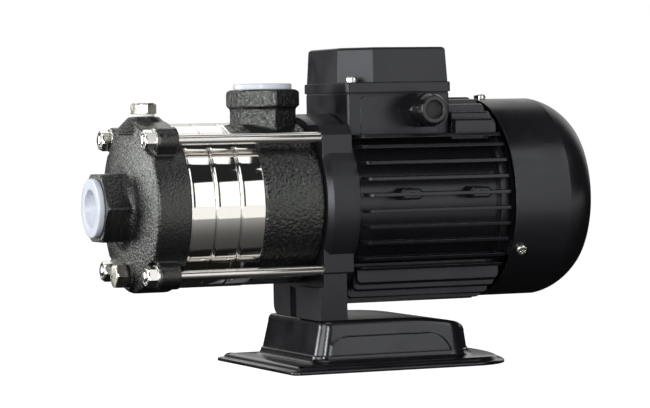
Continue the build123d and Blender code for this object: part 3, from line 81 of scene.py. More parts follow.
def ramped(tree, value, low, high, out_low=0.0, out_high=1.0):
    """Map Range with smooth ends."""
    inputs = {"Value": value, "From Min": low, "From Max": high}
    inputs.update({"To Min": out_low, "To Max": out_high})
    made = add(tree, "ShaderNodeMapRange", inputs, interpolation_type="SMOOTHSTEP")
    return made.outputs["Result"]


def maths(tree, operation, first, second):
    """One operation on two values, each a number or a socket."""
    return add(tree, "ShaderNodeMath", {0: first, 1: second}, operation=operation).outputs[0]


def edge_wear_group():
    """Rounded normal at edges and a broken mask of the edges, lightened by materials both as
    rubbed wear and as a painted edge highlight.
    """
    group, given, out = shader_group(
        "edge_wear_and_highlight",
        [("Radius", FLOAT, 0.0006), ("Patch Scale", FLOAT, 160.0)],
        [("Normal", VECTOR), ("Wear And Highlight", FLOAT)],
    )
    bevel = add(group, "ShaderNodeBevel", {"Radius": given["Radius"]}, samples=4)
    face = add(group, "ShaderNodeNewGeometry")
    inputs = {0: bevel.outputs["Normal"], 1: face.outputs["Normal"]}
    alike = add(group, "ShaderNodeVectorMath", inputs, operation="DOT_PRODUCT").outputs["Value"]
    edge = ramped(group, alike, 0.995, 0.86)
    place = add(group, "ShaderNodeTexCoord").outputs["Object"]
    inputs = {"Vector": place, "Scale": given["Patch Scale"], "Detail": 4.0}
    patches = add(group, "ShaderNodeTexNoise", inputs).outputs[0]
    broken = ramped(group, patches, 0.48, 0.66)
    group.links.new(bevel.outputs["Normal"], out.inputs["Normal"])
    group.links.new(maths(group, "MULTIPLY", edge, broken), out.inputs["Wear And Highlight"])
    return group


def cast_skin_group():
    """Sand-cast skin under paint: rounded lumps with pits, and a mask of their crowns for a
    painted glint.
    """
    group, given, out = shader_group(
        "cast_skin",
        [("Lump Scale", FLOAT, 780.0)],
        [("Height", FLOAT), ("Glint", FLOAT), ("Cloud", FLOAT)],
    )
    place = add(group, "ShaderNodeTexCoord").outputs["Object"]
    scale = given["Lump Scale"]
    inputs = {"Vector": place, "Scale": scale, "Detail": 2.0, "Roughness": 0.55, "Distortion": 0.6}
    lumps = add(group, "ShaderNodeTexNoise", inputs).outputs[0]
    inputs = {"Vector": place, "Scale": maths(group, "MULTIPLY", scale, 0.55), "Smoothness": 0.6}
    cells = add(group, "ShaderNodeTexVoronoi", inputs, feature="SMOOTH_F1").outputs["Distance"]
    inputs = {"Vector": place, "Scale": 22.0, "Detail": 3.0}
    cloud = add(group, "ShaderNodeTexNoise", inputs).outputs[0]
    domes = maths(group, "MULTIPLY", cells, -1.4)
    height = maths(group, "ADD", maths(group, "MULTIPLY", lumps, 1.5), domes)
    group.links.new(height, out.inputs["Height"])
    group.links.new(ramped(group, height, 0.1, 0.6), out.inputs["Glint"])
    group.links.new(cloud, out.inputs["Cloud"])
    return group


def paint_grain_group():
    """Fine orange peel of sprayed or moulded satin black, with a faint cloud over it."""
    group, given, out = shader_group(
        "paint_grain",
        [("Grain Scale", FLOAT, 1500.0), ("Cloud Scale", FLOAT, 30.0)],
        [("Height", FLOAT), ("Cloud", FLOAT), ("Fleck", FLOAT)],
    )
    place = add(group, "ShaderNodeTexCoord").outputs["Object"]
    inputs = {"Vector": place, "Scale": given["Grain Scale"], "Detail": 2.0}
    grain = add(group, "ShaderNodeTexNoise", inputs).outputs[0]
    inputs = {"Vector": place, "Scale": given["Cloud Scale"], "Detail": 3.0, "Distortion": 0.4}
    cloud = add(group, "ShaderNodeTexNoise", inputs).outputs[0]
    inputs = {"Vector": place, "Scale": maths(group, "MULTIPLY", given["Grain Scale"], 0.6)}
    fleck = add(group, "ShaderNodeTexVoronoi", inputs).outputs["Distance"]
    group.links.new(grain, out.inputs["Height"])
    group.links.new(cloud, out.inputs["Cloud"])
    group.links.new(ramped(group, fleck, 0.16, 0.05), out.inputs["Fleck"])
    return group


def drawn_lines_group():
    """Lines left by turning or drawing: noise squeezed across the lines and stretched along."""
    group, given, out = shader_group(
        "drawn_lines",
        [("Stretch", VECTOR, (4000.0, 40.0, 40.0))],
        [("Height", FLOAT), ("Smear", FLOAT)],
    )
    place = add(group, "ShaderNodeTexCoord").outputs["Object"]
    inputs = {0: place, 1: given["Stretch"]}
    stretched = add(group, "ShaderNodeVectorMath", inputs, operation="MULTIPLY").outputs[0]
    inputs = {"Vector": stretched, "Scale": 1.0, "Detail": 2.0}
    fine = add(group, "ShaderNodeTexNoise", inputs).outputs[0]
    inputs = {0: stretched, "Scale": 0.17}
    coarse = add(group, "ShaderNodeVectorMath", inputs, operation="SCALE").outputs[0]
    inputs = {"Vector": coarse, "Scale": 1.0, "Detail": 3.0}
    smear = add(group, "ShaderNodeTexNoise", inputs).outputs[0]
    group.links.new(fine, out.inputs["Height"])
    group.links.new(smear, out.inputs["Smear"])
    return group


EDGE_WEAR_AND_HIGHLIGHT = edge_wear_group()
CAST_SKIN = cast_skin_group()
PAINT_GRAIN = paint_grain_group()
DRAWN_LINES = drawn_lines_group()


def use(tree, group, **inputs):
    """Place a shader group in a material with its own values."""
    made = add(tree, "ShaderNodeGroup", node_tree=group)
    for key, value in inputs.items():
        made.inputs[key.replace("_", " ")].default_value = value
    return made.outputs


def material(name):
    """New node material and its Principled shader."""
    made = bpy.data.materials.new(name)
    made.use_nodes = True
    return made, made.node_tree, made.node_tree.nodes["Principled BSDF"]


def mixed(tree, factor, first, second):
    """Mix two colours, each an (r, g, b) or a socket."""
    made = add(tree, "ShaderNodeMix", {"Factor": factor}, data_type="RGBA")
    for socket, value in ((made.inputs[6], first), (made.inputs[7], second)):
        if isinstance(value, tuple):
            socket.default_value = (*value, 1.0)
        else:
            tree.links.new(value, socket)
    return made.outputs[2]


def bumped(tree, shader, height, normal, distance):
    """Feed a height through a Bump node, on top of an edge normal, into the shader."""
    inputs = {"Height": height, "Distance": distance, "Normal": normal}
    tree.links.new(add(tree, "ShaderNodeBump", inputs).outputs["Normal"], shader.inputs["Normal"])


def cast_black(name, lump_scale=1050.0, depth=0.00026, roughness=(0.17, 0.3)):
    """Black paint over rough cast iron, glossier on crowns and rougher on faces towards -X."""
    made, tree, shader = material(name)
    skin = use(tree, CAST_SKIN, Lump_Scale=lump_scale)
    edge = use(tree, EDGE_WEAR_AND_HIGHLIGHT, Radius=0.0012, Patch_Scale=260.0)
    paint = mixed(tree, skin["Cloud"], (0.003, 0.003, 0.0034), (0.007, 0.007, 0.007))
    # painted highlight: lump crowns get a lighter colour as a glint
    paint = mixed(tree, skin["Glint"], paint, (0.012, 0.013, 0.012))
    # lighter edges: partly rubbed wear, partly a painted edge highlight
    paint = mixed(tree, edge["Wear And Highlight"], paint, (0.03, 0.03, 0.03))
    tree.links.new(paint, shader.inputs["Base Color"])
    normal = add(tree, "ShaderNodeNewGeometry").outputs["Normal"]
    facing = add(tree, "ShaderNodeSeparateXYZ", {0: normal}).outputs["X"]
    crown, pit = roughness
    rough = ramped(tree, skin["Height"], -0.2, 0.5, pit, crown)
    rough = maths(tree, "ADD", rough, ramped(tree, facing, -0.4, -0.8, -0.04, 0.02))
    tree.links.new(rough, shader.inputs["Roughness"])
    shader.inputs["Specular IOR Level"].default_value = 0.8
    shader.inputs["Specular Tint"].default_value = (0.96, 1.0, 0.95, 1.0)
    relief = maths(tree, "MULTIPLY", skin["Height"], ramped(tree, facing, -0.4, -0.8, 0.5, 1.0))
    bumped(tree, shader, relief, edge["Normal"], depth)
    return made


BLACK_PAINT = (0.006, 0.006, 0.0072)


def satin_black(
    name, roughness, depth=0.00003, colour=BLACK_PAINT, grain=1500.0, radius=0.0008, coat=0.0
):
    """Sprayed or moulded satin black with lighter edges: partly rubbed wear, partly a painted edge
    highlight.
    """
    made, tree, shader = material(name)
    grained = use(tree, PAINT_GRAIN, Grain_Scale=grain)
    edge = use(tree, EDGE_WEAR_AND_HIGHLIGHT, Radius=radius)
    lighter = tuple(c * 1.6 for c in colour)
    paint = mixed(tree, grained["Cloud"], colour, lighter)
    # lighter edges: partly rubbed wear, partly a painted edge highlight
    paint = mixed(tree, edge["Wear And Highlight"], paint, (0.05, 0.05, 0.052))
    tree.links.new(paint, shader.inputs["Base Color"])
    shader.inputs["Specular Tint"].default_value = (0.92, 0.94, 1.0, 1.0)
    rough = ramped(tree, grained["Cloud"], 0.3, 0.7, roughness - 0.04, roughness + 0.05)
    tree.links.new(rough, shader.inputs["Roughness"])
    shader.inputs["Coat Weight"].default_value = coat
    shader.inputs["Coat Roughness"].default_value = 0.12
    bumped(tree, shader, grained["Height"], edge["Normal"], depth)
    return made


def bright_metal(name, colour, roughness, stretch, depth=0.00001, darker=None):
    """Polished, drawn or plated metal with fine lines."""
    made, tree, shader = material(name)
    lines = use(tree, DRAWN_LINES, Stretch=stretch)
    edge = use(tree, EDGE_WEAR_AND_HIGHLIGHT, Radius=0.0005)
    darker = darker or tuple(c * 0.86 for c in colour)
    tree.links.new(mixed(tree, lines["Smear"], darker, colour), shader.inputs["Base Color"])
    rough = ramped(tree, lines["Smear"], 0.25, 0.75, roughness * 0.75, roughness * 1.35)
    tree.links.new(rough, shader.inputs["Roughness"])
    shader.inputs["Metallic"].default_value = 1.0
    bumped(tree, shader, lines["Height"], edge["Normal"], depth)
    return made


def moulded(name, colour, roughness=0.4, fleck=0.0, subsurface=0.0):
    """Moulded plastic, rubber or varnish in one colour with a faint cloud and grain."""
    made, tree, shader = material(name)
    grained = use(tree, PAINT_GRAIN, Grain_Scale=1200.0, Cloud_Scale=60.0)
    edge = use(tree, EDGE_WEAR_AND_HIGHLIGHT, Radius=0.0005)
    shade = tuple(c * 0.88 for c in colour)
    look = mixed(tree, grained["Cloud"], shade, colour)
    if fleck:
        spots = maths(tree, "MULTIPLY", grained["Fleck"], fleck)
        look = mixed(tree, spots, look, tuple(min(1.0, c * 2.2 + 0.02) for c in colour))
    tree.links.new(look, shader.inputs["Base Color"])
    rough = ramped(tree, grained["Cloud"], 0.3, 0.7, roughness - 0.04, roughness + 0.06)
    tree.links.new(rough, shader.inputs["Roughness"])
    shader.inputs["Subsurface Weight"].default_value = subsurface
    shader.inputs["Subsurface Radius"].default_value = (0.004, 0.004, 0.004)
    bumped(tree, shader, grained["Height"], edge["Normal"], 0.00002)
    return made


def laminated(name, colour):
    """Stacked electrical sheets: bands along the shaft line."""
    made, tree, shader = material(name)
    place = add(tree, "ShaderNodeTexCoord").outputs["Object"]
    sheet_pitch = 0.0009
    inputs = {"Vector": place, "Scale": 0.5 / sheet_pitch}
    bands = add(tree, "ShaderNodeTexWave", inputs, bands_direction="X").outputs["Fac"]
    grained = use(tree, PAINT_GRAIN, Cloud_Scale=90.0)
    dark = tuple(c * 0.45 for c in colour)
    tree.links.new(mixed(tree, bands, dark, colour), shader.inputs["Base Color"])
    tree.links.new(ramped(tree, grained["Cloud"], 0.3, 0.7, 0.4, 0.55), shader.inputs["Roughness"])
    shader.inputs["Metallic"].default_value = 0.8
    edge = use(tree, EDGE_WEAR_AND_HIGHLIGHT)
    bumped(tree, shader, bands, edge["Normal"], 0.00008)
    return made


def wound(name, colour):
    """Varnished wire bundles: bands that run round the shaft with strands across."""
    made, tree, shader = material(name)
    lines = use(tree, DRAWN_LINES, Stretch=(900.0, 120.0, 120.0))
    dark = tuple(c * 0.35 for c in colour)
    strands = ramped(tree, lines["Height"], 0.4, 0.6)
    tree.links.new(mixed(tree, strands, dark, colour), shader.inputs["Base Color"])
    tree.links.new(ramped(tree, lines["Smear"], 0.3, 0.7, 0.25, 0.42), shader.inputs["Roughness"])
    shader.inputs["Coat Weight"].default_value = 0.6
    edge = use(tree, EDGE_WEAR_AND_HIGHLIGHT)
    bumped(tree, shader, strands, edge["Normal"], 0.0003)
    return made


ALONG_X = (60.0, 5200.0, 5200.0)
ROUND_X = (5200.0, 60.0, 60.0)
ALL_WAYS = (700.0, 700.0, 700.0)
ALL_WAYS_FINER = (900.0, 900.0, 900.0)

finishes = {
    "cast_iron": cast_black("black_cast_iron"),
    "cast_port": cast_black("black_cast_port", 700.0, 0.0006, (0.13, 0.2)),
    "polished": bright_metal(
        "polished_stainless", (0.86, 0.84, 0.80), 0.045, ROUND_X, 0.000001, (0.82, 0.80, 0.76)
    ),
    "drawn": bright_metal("drawn_stainless", (0.72, 0.70, 0.67), 0.2, ALONG_X, 0.000003),
    "pressed": bright_metal("pressed_stainless", (0.66, 0.65, 0.63), 0.24, ROUND_X),
    "plated": bright_metal(
        "bright_plate", (0.80, 0.79, 0.76), 0.2, ALL_WAYS, 0.000003, (0.72, 0.71, 0.66)
    ),
    "plug": bright_metal(
        "nickel_plug", (0.74, 0.72, 0.64), 0.27, ALL_WAYS_FINER, 0.000002, (0.70, 0.67, 0.58)
    ),
    "ground": bright_metal("ground_steel", (0.62, 0.62, 0.62), 0.2, ROUND_X),
    "satin": satin_black("satin_black_aluminium", 0.33),
    "housing": satin_black("housing_black", 0.28, 0.00004),
    "fan_cover": satin_black("fan_cover_black", 0.27, 0.00001),
    "base": satin_black(
        "gloss_black_base", 0.2, 0.00002, (0.005, 0.005, 0.006), radius=0.0012, coat=0.3
    ),
    "box": satin_black("box_black", 0.31, 0.00002, grain=2200.0),
    "gland": moulded("gland_black", (0.007, 0.007, 0.0085), roughness=0.16),
    "fan": moulded("fan_black", (0.02, 0.02, 0.022), roughness=0.45),
    "white": moulded("cap_white", (0.60, 0.63, 0.70), roughness=0.32, subsurface=0.05),
    "washer": moulded("washer_white", (0.86, 0.86, 0.84), roughness=0.4),
    "rubber": moulded("black_rubber", (0.014, 0.014, 0.014), roughness=0.6, fleck=0.2),
    "ceramic": moulded("seal_ceramic", (0.78, 0.75, 0.68), roughness=0.2),
    "board": moulded("board_brown", (0.09, 0.035, 0.018), roughness=0.35, fleck=0.3),
    "capacitor": moulded("capacitor_grey", (0.42, 0.43, 0.44), roughness=0.4),
    "brass": bright_metal("terminal_brass", (0.83, 0.62, 0.27), 0.22, (1500.0, 1500.0, 300.0)),
    "laminated": laminated("core_sheets", (0.34, 0.34, 0.36)),
    "winding": wound("winding_copper", (0.42, 0.13, 0.05)),
}

wears = {
    "cast_iron": ["suction_cover", "discharge_casing"],
    "polished": ["stage_casing_1", "stage_casing_2", "stage_casing_3"],
    "drawn": ["tie_rods", "shaft"],
    "pressed": [
        "diffuser_1", "diffuser_2", "diffuser_3",
        "impeller_1", "impeller_2", "impeller_3", "seal_head",
    ],
    "plated": [
        "tie_rod_nuts", "tie_rod_washers", "foot_screws", "fan_cover_screws", "lid_screws",
    ],
    "plug": ["vent_plug", "drain_plug"],
    "ground": [
        "impeller_spacers", "impeller_nut",
        "front_bearing_outer", "front_bearing_inner", "rear_bearing_outer", "rear_bearing_inner",
    ],
    "satin": ["motor_bracket", "rear_endshield"],
    "housing": ["motor_housing"],
    "fan_cover": ["fan_cover"],
    "base": ["base_plate"],
    "box": ["terminal_box", "terminal_lid"],
    "gland": ["gland_body", "gland_nut"],
    "fan": ["cooling_fan"],
    "white": ["suction_cap", "discharge_cap"],
    "washer": ["vent_washer"],
    "rubber": ["drain_washer", "casing_seal_rings", "water_slinger", "lid_gasket", "gland_seal"],
    "ceramic": ["seal_seat"],
    "board": ["terminal_block"],
    "capacitor": ["run_capacitor"],
    "brass": ["terminal_studs"],
    "laminated": ["stator_core", "rotor_core"],
    "winding": ["stator_windings"],
}
for look, names in wears.items():
    for name in names:
        for slot in nodes[name].material_slots:
            slot.material = finishes[look]


# Shapes worked out here, in millimetres from the shaft line and the cover's rim front

AXES = {
    "+x": ((1, 0, 0), (0, 1, 0), (0, 0, 1)),
    "-x": ((-1, 0, 0), (0, 1, 0), (0, 0, 1)),
    "+z": ((0, 0, 1), (1, 0, 0), (0, 1, 0)),
    "-y": ((0, -1, 0), (1, 0, 0), (0, 0, 1)),
}


def rounded(corners, radius, steps=5):
    """Closed line through corners, each replaced by an arc that touches both of its sides.

    The arc's centre stands radius / sin(half angle) from the corner along the bisector, and
    its points turn evenly from the first touching point to the last.
    """
    p = np.array(corners, dtype=float)
    r = np.broadcast_to(np.array(radius, dtype=float), (len(p),))
    before, after = np.roll(p, 1, axis=0) - p, np.roll(p, -1, axis=0) - p
    u = before / np.linalg.norm(before, axis=1, keepdims=True)
    v = after / np.linalg.norm(after, axis=1, keepdims=True)
    half = np.arccos(np.clip((u * v).sum(axis=1), -0.9999, 0.9999)) / 2
    bisector = (u + v) / np.linalg.norm(u + v, axis=1, keepdims=True)
    middle = p + bisector * (r / np.sin(half))[:, None]
    first = p + u * (r / np.tan(half))[:, None] - middle
    last = p + v * (r / np.tan(half))[:, None] - middle
    turn = (np.pi - 2 * half)[:, None, None]
    s = np.linspace(0, 1, steps)[None, :, None]
    arc = np.sin((1 - s) * turn) * first[:, None] + np.sin(s * turn) * last[:, None]
    return (middle[:, None] + arc / np.sin(turn)).reshape(-1, 2)


def turned(profile, axis="+x", place=(0, 0, 0), sides=96, flats=None, turn=0.0, soft=0.25):
    """A line of (height, radius) turned about an axis that starts at a place.

    Where flats is given, the radius is the smaller of the line's and a hexagon's, which is
    half the flats / cos(angle from the middle of the side), blended over a soft width.
    """
    line = np.vstack([profile, profile[:1]])
    along, side, up = (np.array(v, dtype=float) for v in AXES[axis])
    a = np.arange(sides) * 2 * np.pi / sides
    r = np.repeat(line[:, 1:2], sides, axis=1)
    if flats:
        from_side = np.mod(a - math.radians(turn), np.pi / 3) - np.pi / 6
        hexagon = (flats / 2 / np.cos(from_side))[None, :]
        gap = np.clip(0.5 + (r - hexagon) / (4 * soft), 0, 1)
        r = r + (hexagon - r) * gap - 2 * soft * gap * (1 - gap)
    ring = r[..., None] * (np.cos(a)[:, None] * side + np.sin(a)[:, None] * up)
    return np.array(place, dtype=float) + line[:, 0, None, None] * along + ring


def grid_faces(rows, columns, start):
    """Quads between neighbouring rows of points, closed round the columns."""
    r = np.arange(rows - 1)[:, None]
    c = np.arange(columns)[None, :]
    n = (c + 1) % columns
    quads = [r * columns + c, r * columns + n, (r + 1) * columns + n, (r + 1) * columns + c]
    return np.stack(quads, axis=-1).reshape(-1, 4) + start


def finished(name, mesh, look, replaced, body, crease):
    """Merge, face outwards, smooth between creases, dress and hang a mesh on its body."""
    whole = bmesh.new()
    whole.from_mesh(mesh)
    bmesh.ops.remove_doubles(whole, verts=whole.verts, dist=0.000002)
    bmesh.ops.dissolve_degenerate(whole, edges=whole.edges, dist=0.000001)
    bmesh.ops.recalc_face_normals(whole, faces=whole.faces)
    whole.to_mesh(mesh)
    whole.free()
    mesh.polygons.foreach_set("use_smooth", [True] * len(mesh.polygons))
    mesh.set_sharp_from_angle(angle=math.radians(crease))
    mesh.materials.clear()
    mesh.materials.append(finishes[look])
    made = bpy.data.objects.new(name, mesh)
    bpy.context.collection.objects.link(made)
    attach(made, body)
    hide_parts(*replaced)


def mesh_of(name, grids):
    """One mesh from grids of points (rows, columns, xyz) that close round their columns."""
    points, faces, start = [], [], 0
    for grid in grids:
        rows, columns = grid.shape[:2]
        points.append(grid.reshape(-1, 3))
        faces.append(grid_faces(rows, columns, start))
        start += rows * columns
    mesh = bpy.data.meshes.new(name)
    placed = (np.concatenate(points) + np.array([RIM_FRONT_X, 0.0, SHAFT_HEIGHT])) * MM
    mesh.from_pydata(placed.tolist(), [], np.concatenate(faces).tolist())
    return mesh


def piece(name, grids, look, slot, *replaced, body="pump_body"):
    """Piece made of turned grids, in place of the CAD nodes named last."""
    finished(name, mesh_of(name, grids), look, replaced, body, crease=32.0)


def stage_rings():
    """Polished casings: one closed profile each, with a rolled edge at either end."""
    corners = [
        (-2.5, 52.9), (-2.5, 54.5), (0.05, 54.5), (0.05, 55.75), (0.75, 56.3),
        (1.9, 56.12), (3.2, 56.28), (17.1, 56.3), (17.95, 55.7), (17.95, 54.8),
        (1.5, 54.8), (1.5, 17.5), (0.1, 17.5), (0.1, 52.9),
    ]
    radii = [0.2, 0.2, 0.05, 0.25, 0.5, 0.6, 0.8, 0.5, 0.2, 0.1, 0.6, 0.3, 0.3, 0.3]
    shape = rounded(corners, radii)
    for number, x in enumerate((22.7, 40.7, 58.7), start=1):
        ring = turned(shape, place=(x, 0, 0), sides=240)
        casing = f"stage_casing_{number}"
        piece(f"stage_ring_{number}", [ring], "polished", "stainless_polished", casing)


ROD_PLACES = [(y, z) for y in (-45.4, 45.4) for z in (-45.4, 45.4)]


def threaded_rod(y, z):
    """Rod whose radius falls by a sawtooth of (height / pitch - turn) where it is threaded."""
    radius, waist, pitch, depth, sides = 4.0, 3.6, 1.25, 0.62, 40
    thread_end, waist_end, rear_end = 6.1, 120.0, 135.3
    plain = [6.3, 7.0, 60.0, 119.5, 120.3, rear_end, rear_end]
    x = np.concatenate([[-8.0], np.arange(-7.9, 6.0, 0.1), plain])
    r = np.where((x < thread_end) | (x > waist_end), radius, waist)
    r[0] = 0.0
    grid = turned(np.stack([x, r], axis=-1)[:-1], place=(0, y, z), sides=sides)
    grid[-1] = (rear_end, y, z)
    x = x[:, None]
    tooth = np.abs(np.mod(x / pitch - np.arange(sides) / sides, 1.0) - 0.5) * 2
    chamfer = 0.9 * np.clip(-7.2 - x, 0, 0.8)
    shrink = 1 - np.where(x < thread_end, depth * tooth + chamfer, 0.0) / radius
    grid[..., 1] = y + (grid[..., 1] - y) * shrink
    grid[..., 2] = z + (grid[..., 2] - z) * shrink
    return grid


def tie_rod_set():
    """Four rods with their nuts and washers in front of the cover's lugs."""
    piece("rods", [threaded_rod(y, z) for y, z in ROD_PLACES], "drawn", "stainless", "tie_rods")
    nut = rounded(
        [(0, 4.1), (0, 6.9), (0.5, 7.9), (5.6, 7.9), (6.8, 6.1), (6.8, 4.7), (6.2, 4.1)],
        [0.05, 0.3, 0.3, 0.4, 0.35, 0.2, 0.1], 4,
    )
    washer = rounded([(0, 4.2), (0, 8.0), (1.6, 8.0), (1.6, 4.2)], [0.1, 0.3, 0.3, 0.1], 4)
    hexagon = {"flats": 13.0, "turn": 15.0, "soft": 0.12}
    nuts = [turned(nut, "-x", (0.0, y, z), 144, **hexagon) for y, z in ROD_PLACES]
    washers = [turned(washer, "-x", (1.6, y, z), 64) for y, z in ROD_PLACES]
    piece("rod_nuts", nuts, "plated", "plated_steel", "tie_rod_nuts")
    piece("rod_washers", washers, "plated", "plated_steel", "tie_rod_washers")


def plugs():
    """Hexagon plugs: a shank with its end turned down, under a head with a domed top."""
    corners = [
        (-9.9, 0), (-9.9, 5.4), (-9.0, 6.35), (1.8, 6.35),
        (1.8, 8.4), (2.3, 9.4), (8.0, 9.4), (9.3, 7.2), (9.4, 0),
    ]
    shape = rounded(corners, [0, 0.1, 0.1, 0.1, 0.3, 0.3, 0.5, 0.6, 0], 4)
    ring = rounded([(0, 6.45), (0, 7.6), (1.8, 7.6), (1.8, 6.45)], [0.1, 0.5, 0.5, 0.1], 4)
    spots = {"vent": ("+z", (10.0, 0.0, 61.5), 30.0), "drain": ("-x", (-4.5, 0.0, -46.5), 0.0)}
    rings = {"vent": ("washer", "washer_white"), "drain": ("rubber", "washer_dark")}
    for name, (axis, place, turn) in spots.items():
        plug = f"{name}_plug"
        head = turned(shape, axis, place, 144, flats=15.5, turn=turn, soft=0.15)
        piece(f"{name}_plug_head", [head], "plug", "plug_brass", plug, body=plug)
        look, slot = rings[name]
        washer = turned(ring, axis, place, 72)
        piece(f"{name}_plug_ring", [washer], look, slot, f"{name}_washer")


def port_caps():
    """White caps: a rounded flange round a deep cup with a dished floor."""
    corners = [
        (-3.3, 0), (-3.5, 9.2), (0.6, 11.4), (4, 12.6), (4, 20.3),
        (0, 20.3), (0, 16.6), (-5, 16.6), (-5, 0),
    ]
    shape = rounded(corners, [0, 1.6, 3.0, 0.9, 1.1, 0.3, 0.2, 0.8, 0], 7)
    spots = {"suction": ("-x", (-25.7, 0, 0)), "discharge": ("+z", (97.4, 0, 79.0))}
    for name, (axis, place) in spots.items():
        cap = f"{name}_cap"
        shell = turned(shape, axis, place, 144)
        piece(f"{name}_port_cap", [shell], "white", "cap_white", cap, body=cap)


def cable_gland():
    """Gland in three turned pieces: flanged body, domed nut cut by a soft hexagon, and seal."""
    root = (197.0, -38.3, 63.0)
    corners = [
        (-7, 6.5), (-7, 8.5), (0, 8.5), (0, 12.8), (2.6, 12.8), (2.6, 14.2),
        (10.4, 14.2), (10.4, 8.5), (16.5, 8.5), (16.5, 6.5),
    ]
    line = rounded(corners, [0.3, 0.3, 0.05, 0.3, 0.7, 0.3, 0.9, 0.1, 0.3, 0.3])
    flange = turned(line, "-y", root, 144, flats=23.0, soft=0.3)
    piece("gland_flange", [flange], "gland", "gland_black", "gland_body")
    corners = [
        (10.7, 8.75), (10.7, 14.6), (16.4, 14.6), (18.8, 11.6), (25.4, 11.5), (30.1, 9.4),
        (30.1, 6.3), (27.15, 6.3), (27.15, 8.25), (16.9, 8.25),
    ]
    line = rounded(corners, [0.2, 0.8, 1.2, 1.6, 3.5, 1.3, 0.5, 0.2, 0.2, 0.2], 7)
    dome = turned(line, "-y", root, 144, flats=23.6, soft=0.6)
    piece("gland_dome", [dome], "gland", "gland_black", "gland_nut")
    corners = [
        (17.3, 5.6), (17.3, 8.0), (26.8, 8.0), (26.8, 5.6),
        (25.6, 5.6), (25.6, 0), (23.6, 0), (23.6, 5.6),
    ]
    line = rounded(corners, [0.2, 0.4, 0.4, 0.4, 0.2, 0, 0, 0.2])
    piece("gland_plug", [turned(line, "-y", root, 96)], "rubber", "rubber_black", "gland_seal")


def round_ended(front, back, half, front_corner, end_radius, end_corner):
    """Points and outward normals of an outline with two small corners and one wide end arc.

    The end corner's centre lies where both arcs share a tangent: at half the width less its
    radius, and as far back as a circle of the end radius less the corner's allows.
    """
    corner_y = half - end_corner
    apart = math.sqrt((end_radius - end_corner) ** 2 - corner_y**2)
    bend = math.atan2(corner_y, apart)
    corner_x = back - end_radius + apart
    front_x, front_y = front + front_corner, half - front_corner
    arcs = [
        (back - end_radius, 0.0, end_radius, -bend, bend, 72),
        (corner_x, corner_y, end_corner, bend, np.pi / 2, 18),
        (front_x, front_y, front_corner, np.pi / 2, np.pi, 14),
        (front_x, -front_y, front_corner, np.pi, 1.5 * np.pi, 14),
        (corner_x, -corner_y, end_corner, 1.5 * np.pi, 2 * np.pi - bend, 18),
    ]
    runs = (0, 150, 60, 150, 0)
    points, normals = [], []
    for (x, y, radius, start, stop, count), following, run in zip(arcs, arcs[1:] + arcs[:1], runs):
        a = np.linspace(start, stop, count)
        outward = np.stack([np.cos(a), np.sin(a)], axis=-1)
        points.append(np.array([x, y]) + radius * outward)
        normals.append(outward)
        if run:
            ahead = np.array(following[:2]) + following[2] * outward[-1]
            s = np.linspace(0, 1, run + 2)[1:-1, None]
            points.append(points[-1][-1] * (1 - s) + ahead * s)
            normals.append(np.repeat(outward[-1:], run, axis=0))
    return np.concatenate(points), np.concatenate(normals)


CROWN_TOP = -80.0
FLANGE_TOP = -108.5


def crown_fall(x):
    """How far the pedestal's top has fallen at a station: 11 mm x (share of 90 mm) to the 3.6."""
    return 11.0 * np.clip((x - 150.0) / 90.0, 0, None) ** 3.6


def side_panel(x, z):
    """Height of the arched side panel: 1.1 mm inside a rectangle with large round top corners."""
    middle, half_length, height, corner, slope = 165.5, 47.5, 17.5, 17.0, 0.9
    across = np.abs(x - middle) - (half_length - corner)
    above = (z - FLANGE_TOP) - (height - corner)
    outside = np.hypot(np.clip(across, 0, None), np.clip(above, 0, None)) - corner
    return 1.1 * np.clip(0.5 - outside / slope, 0, 1)


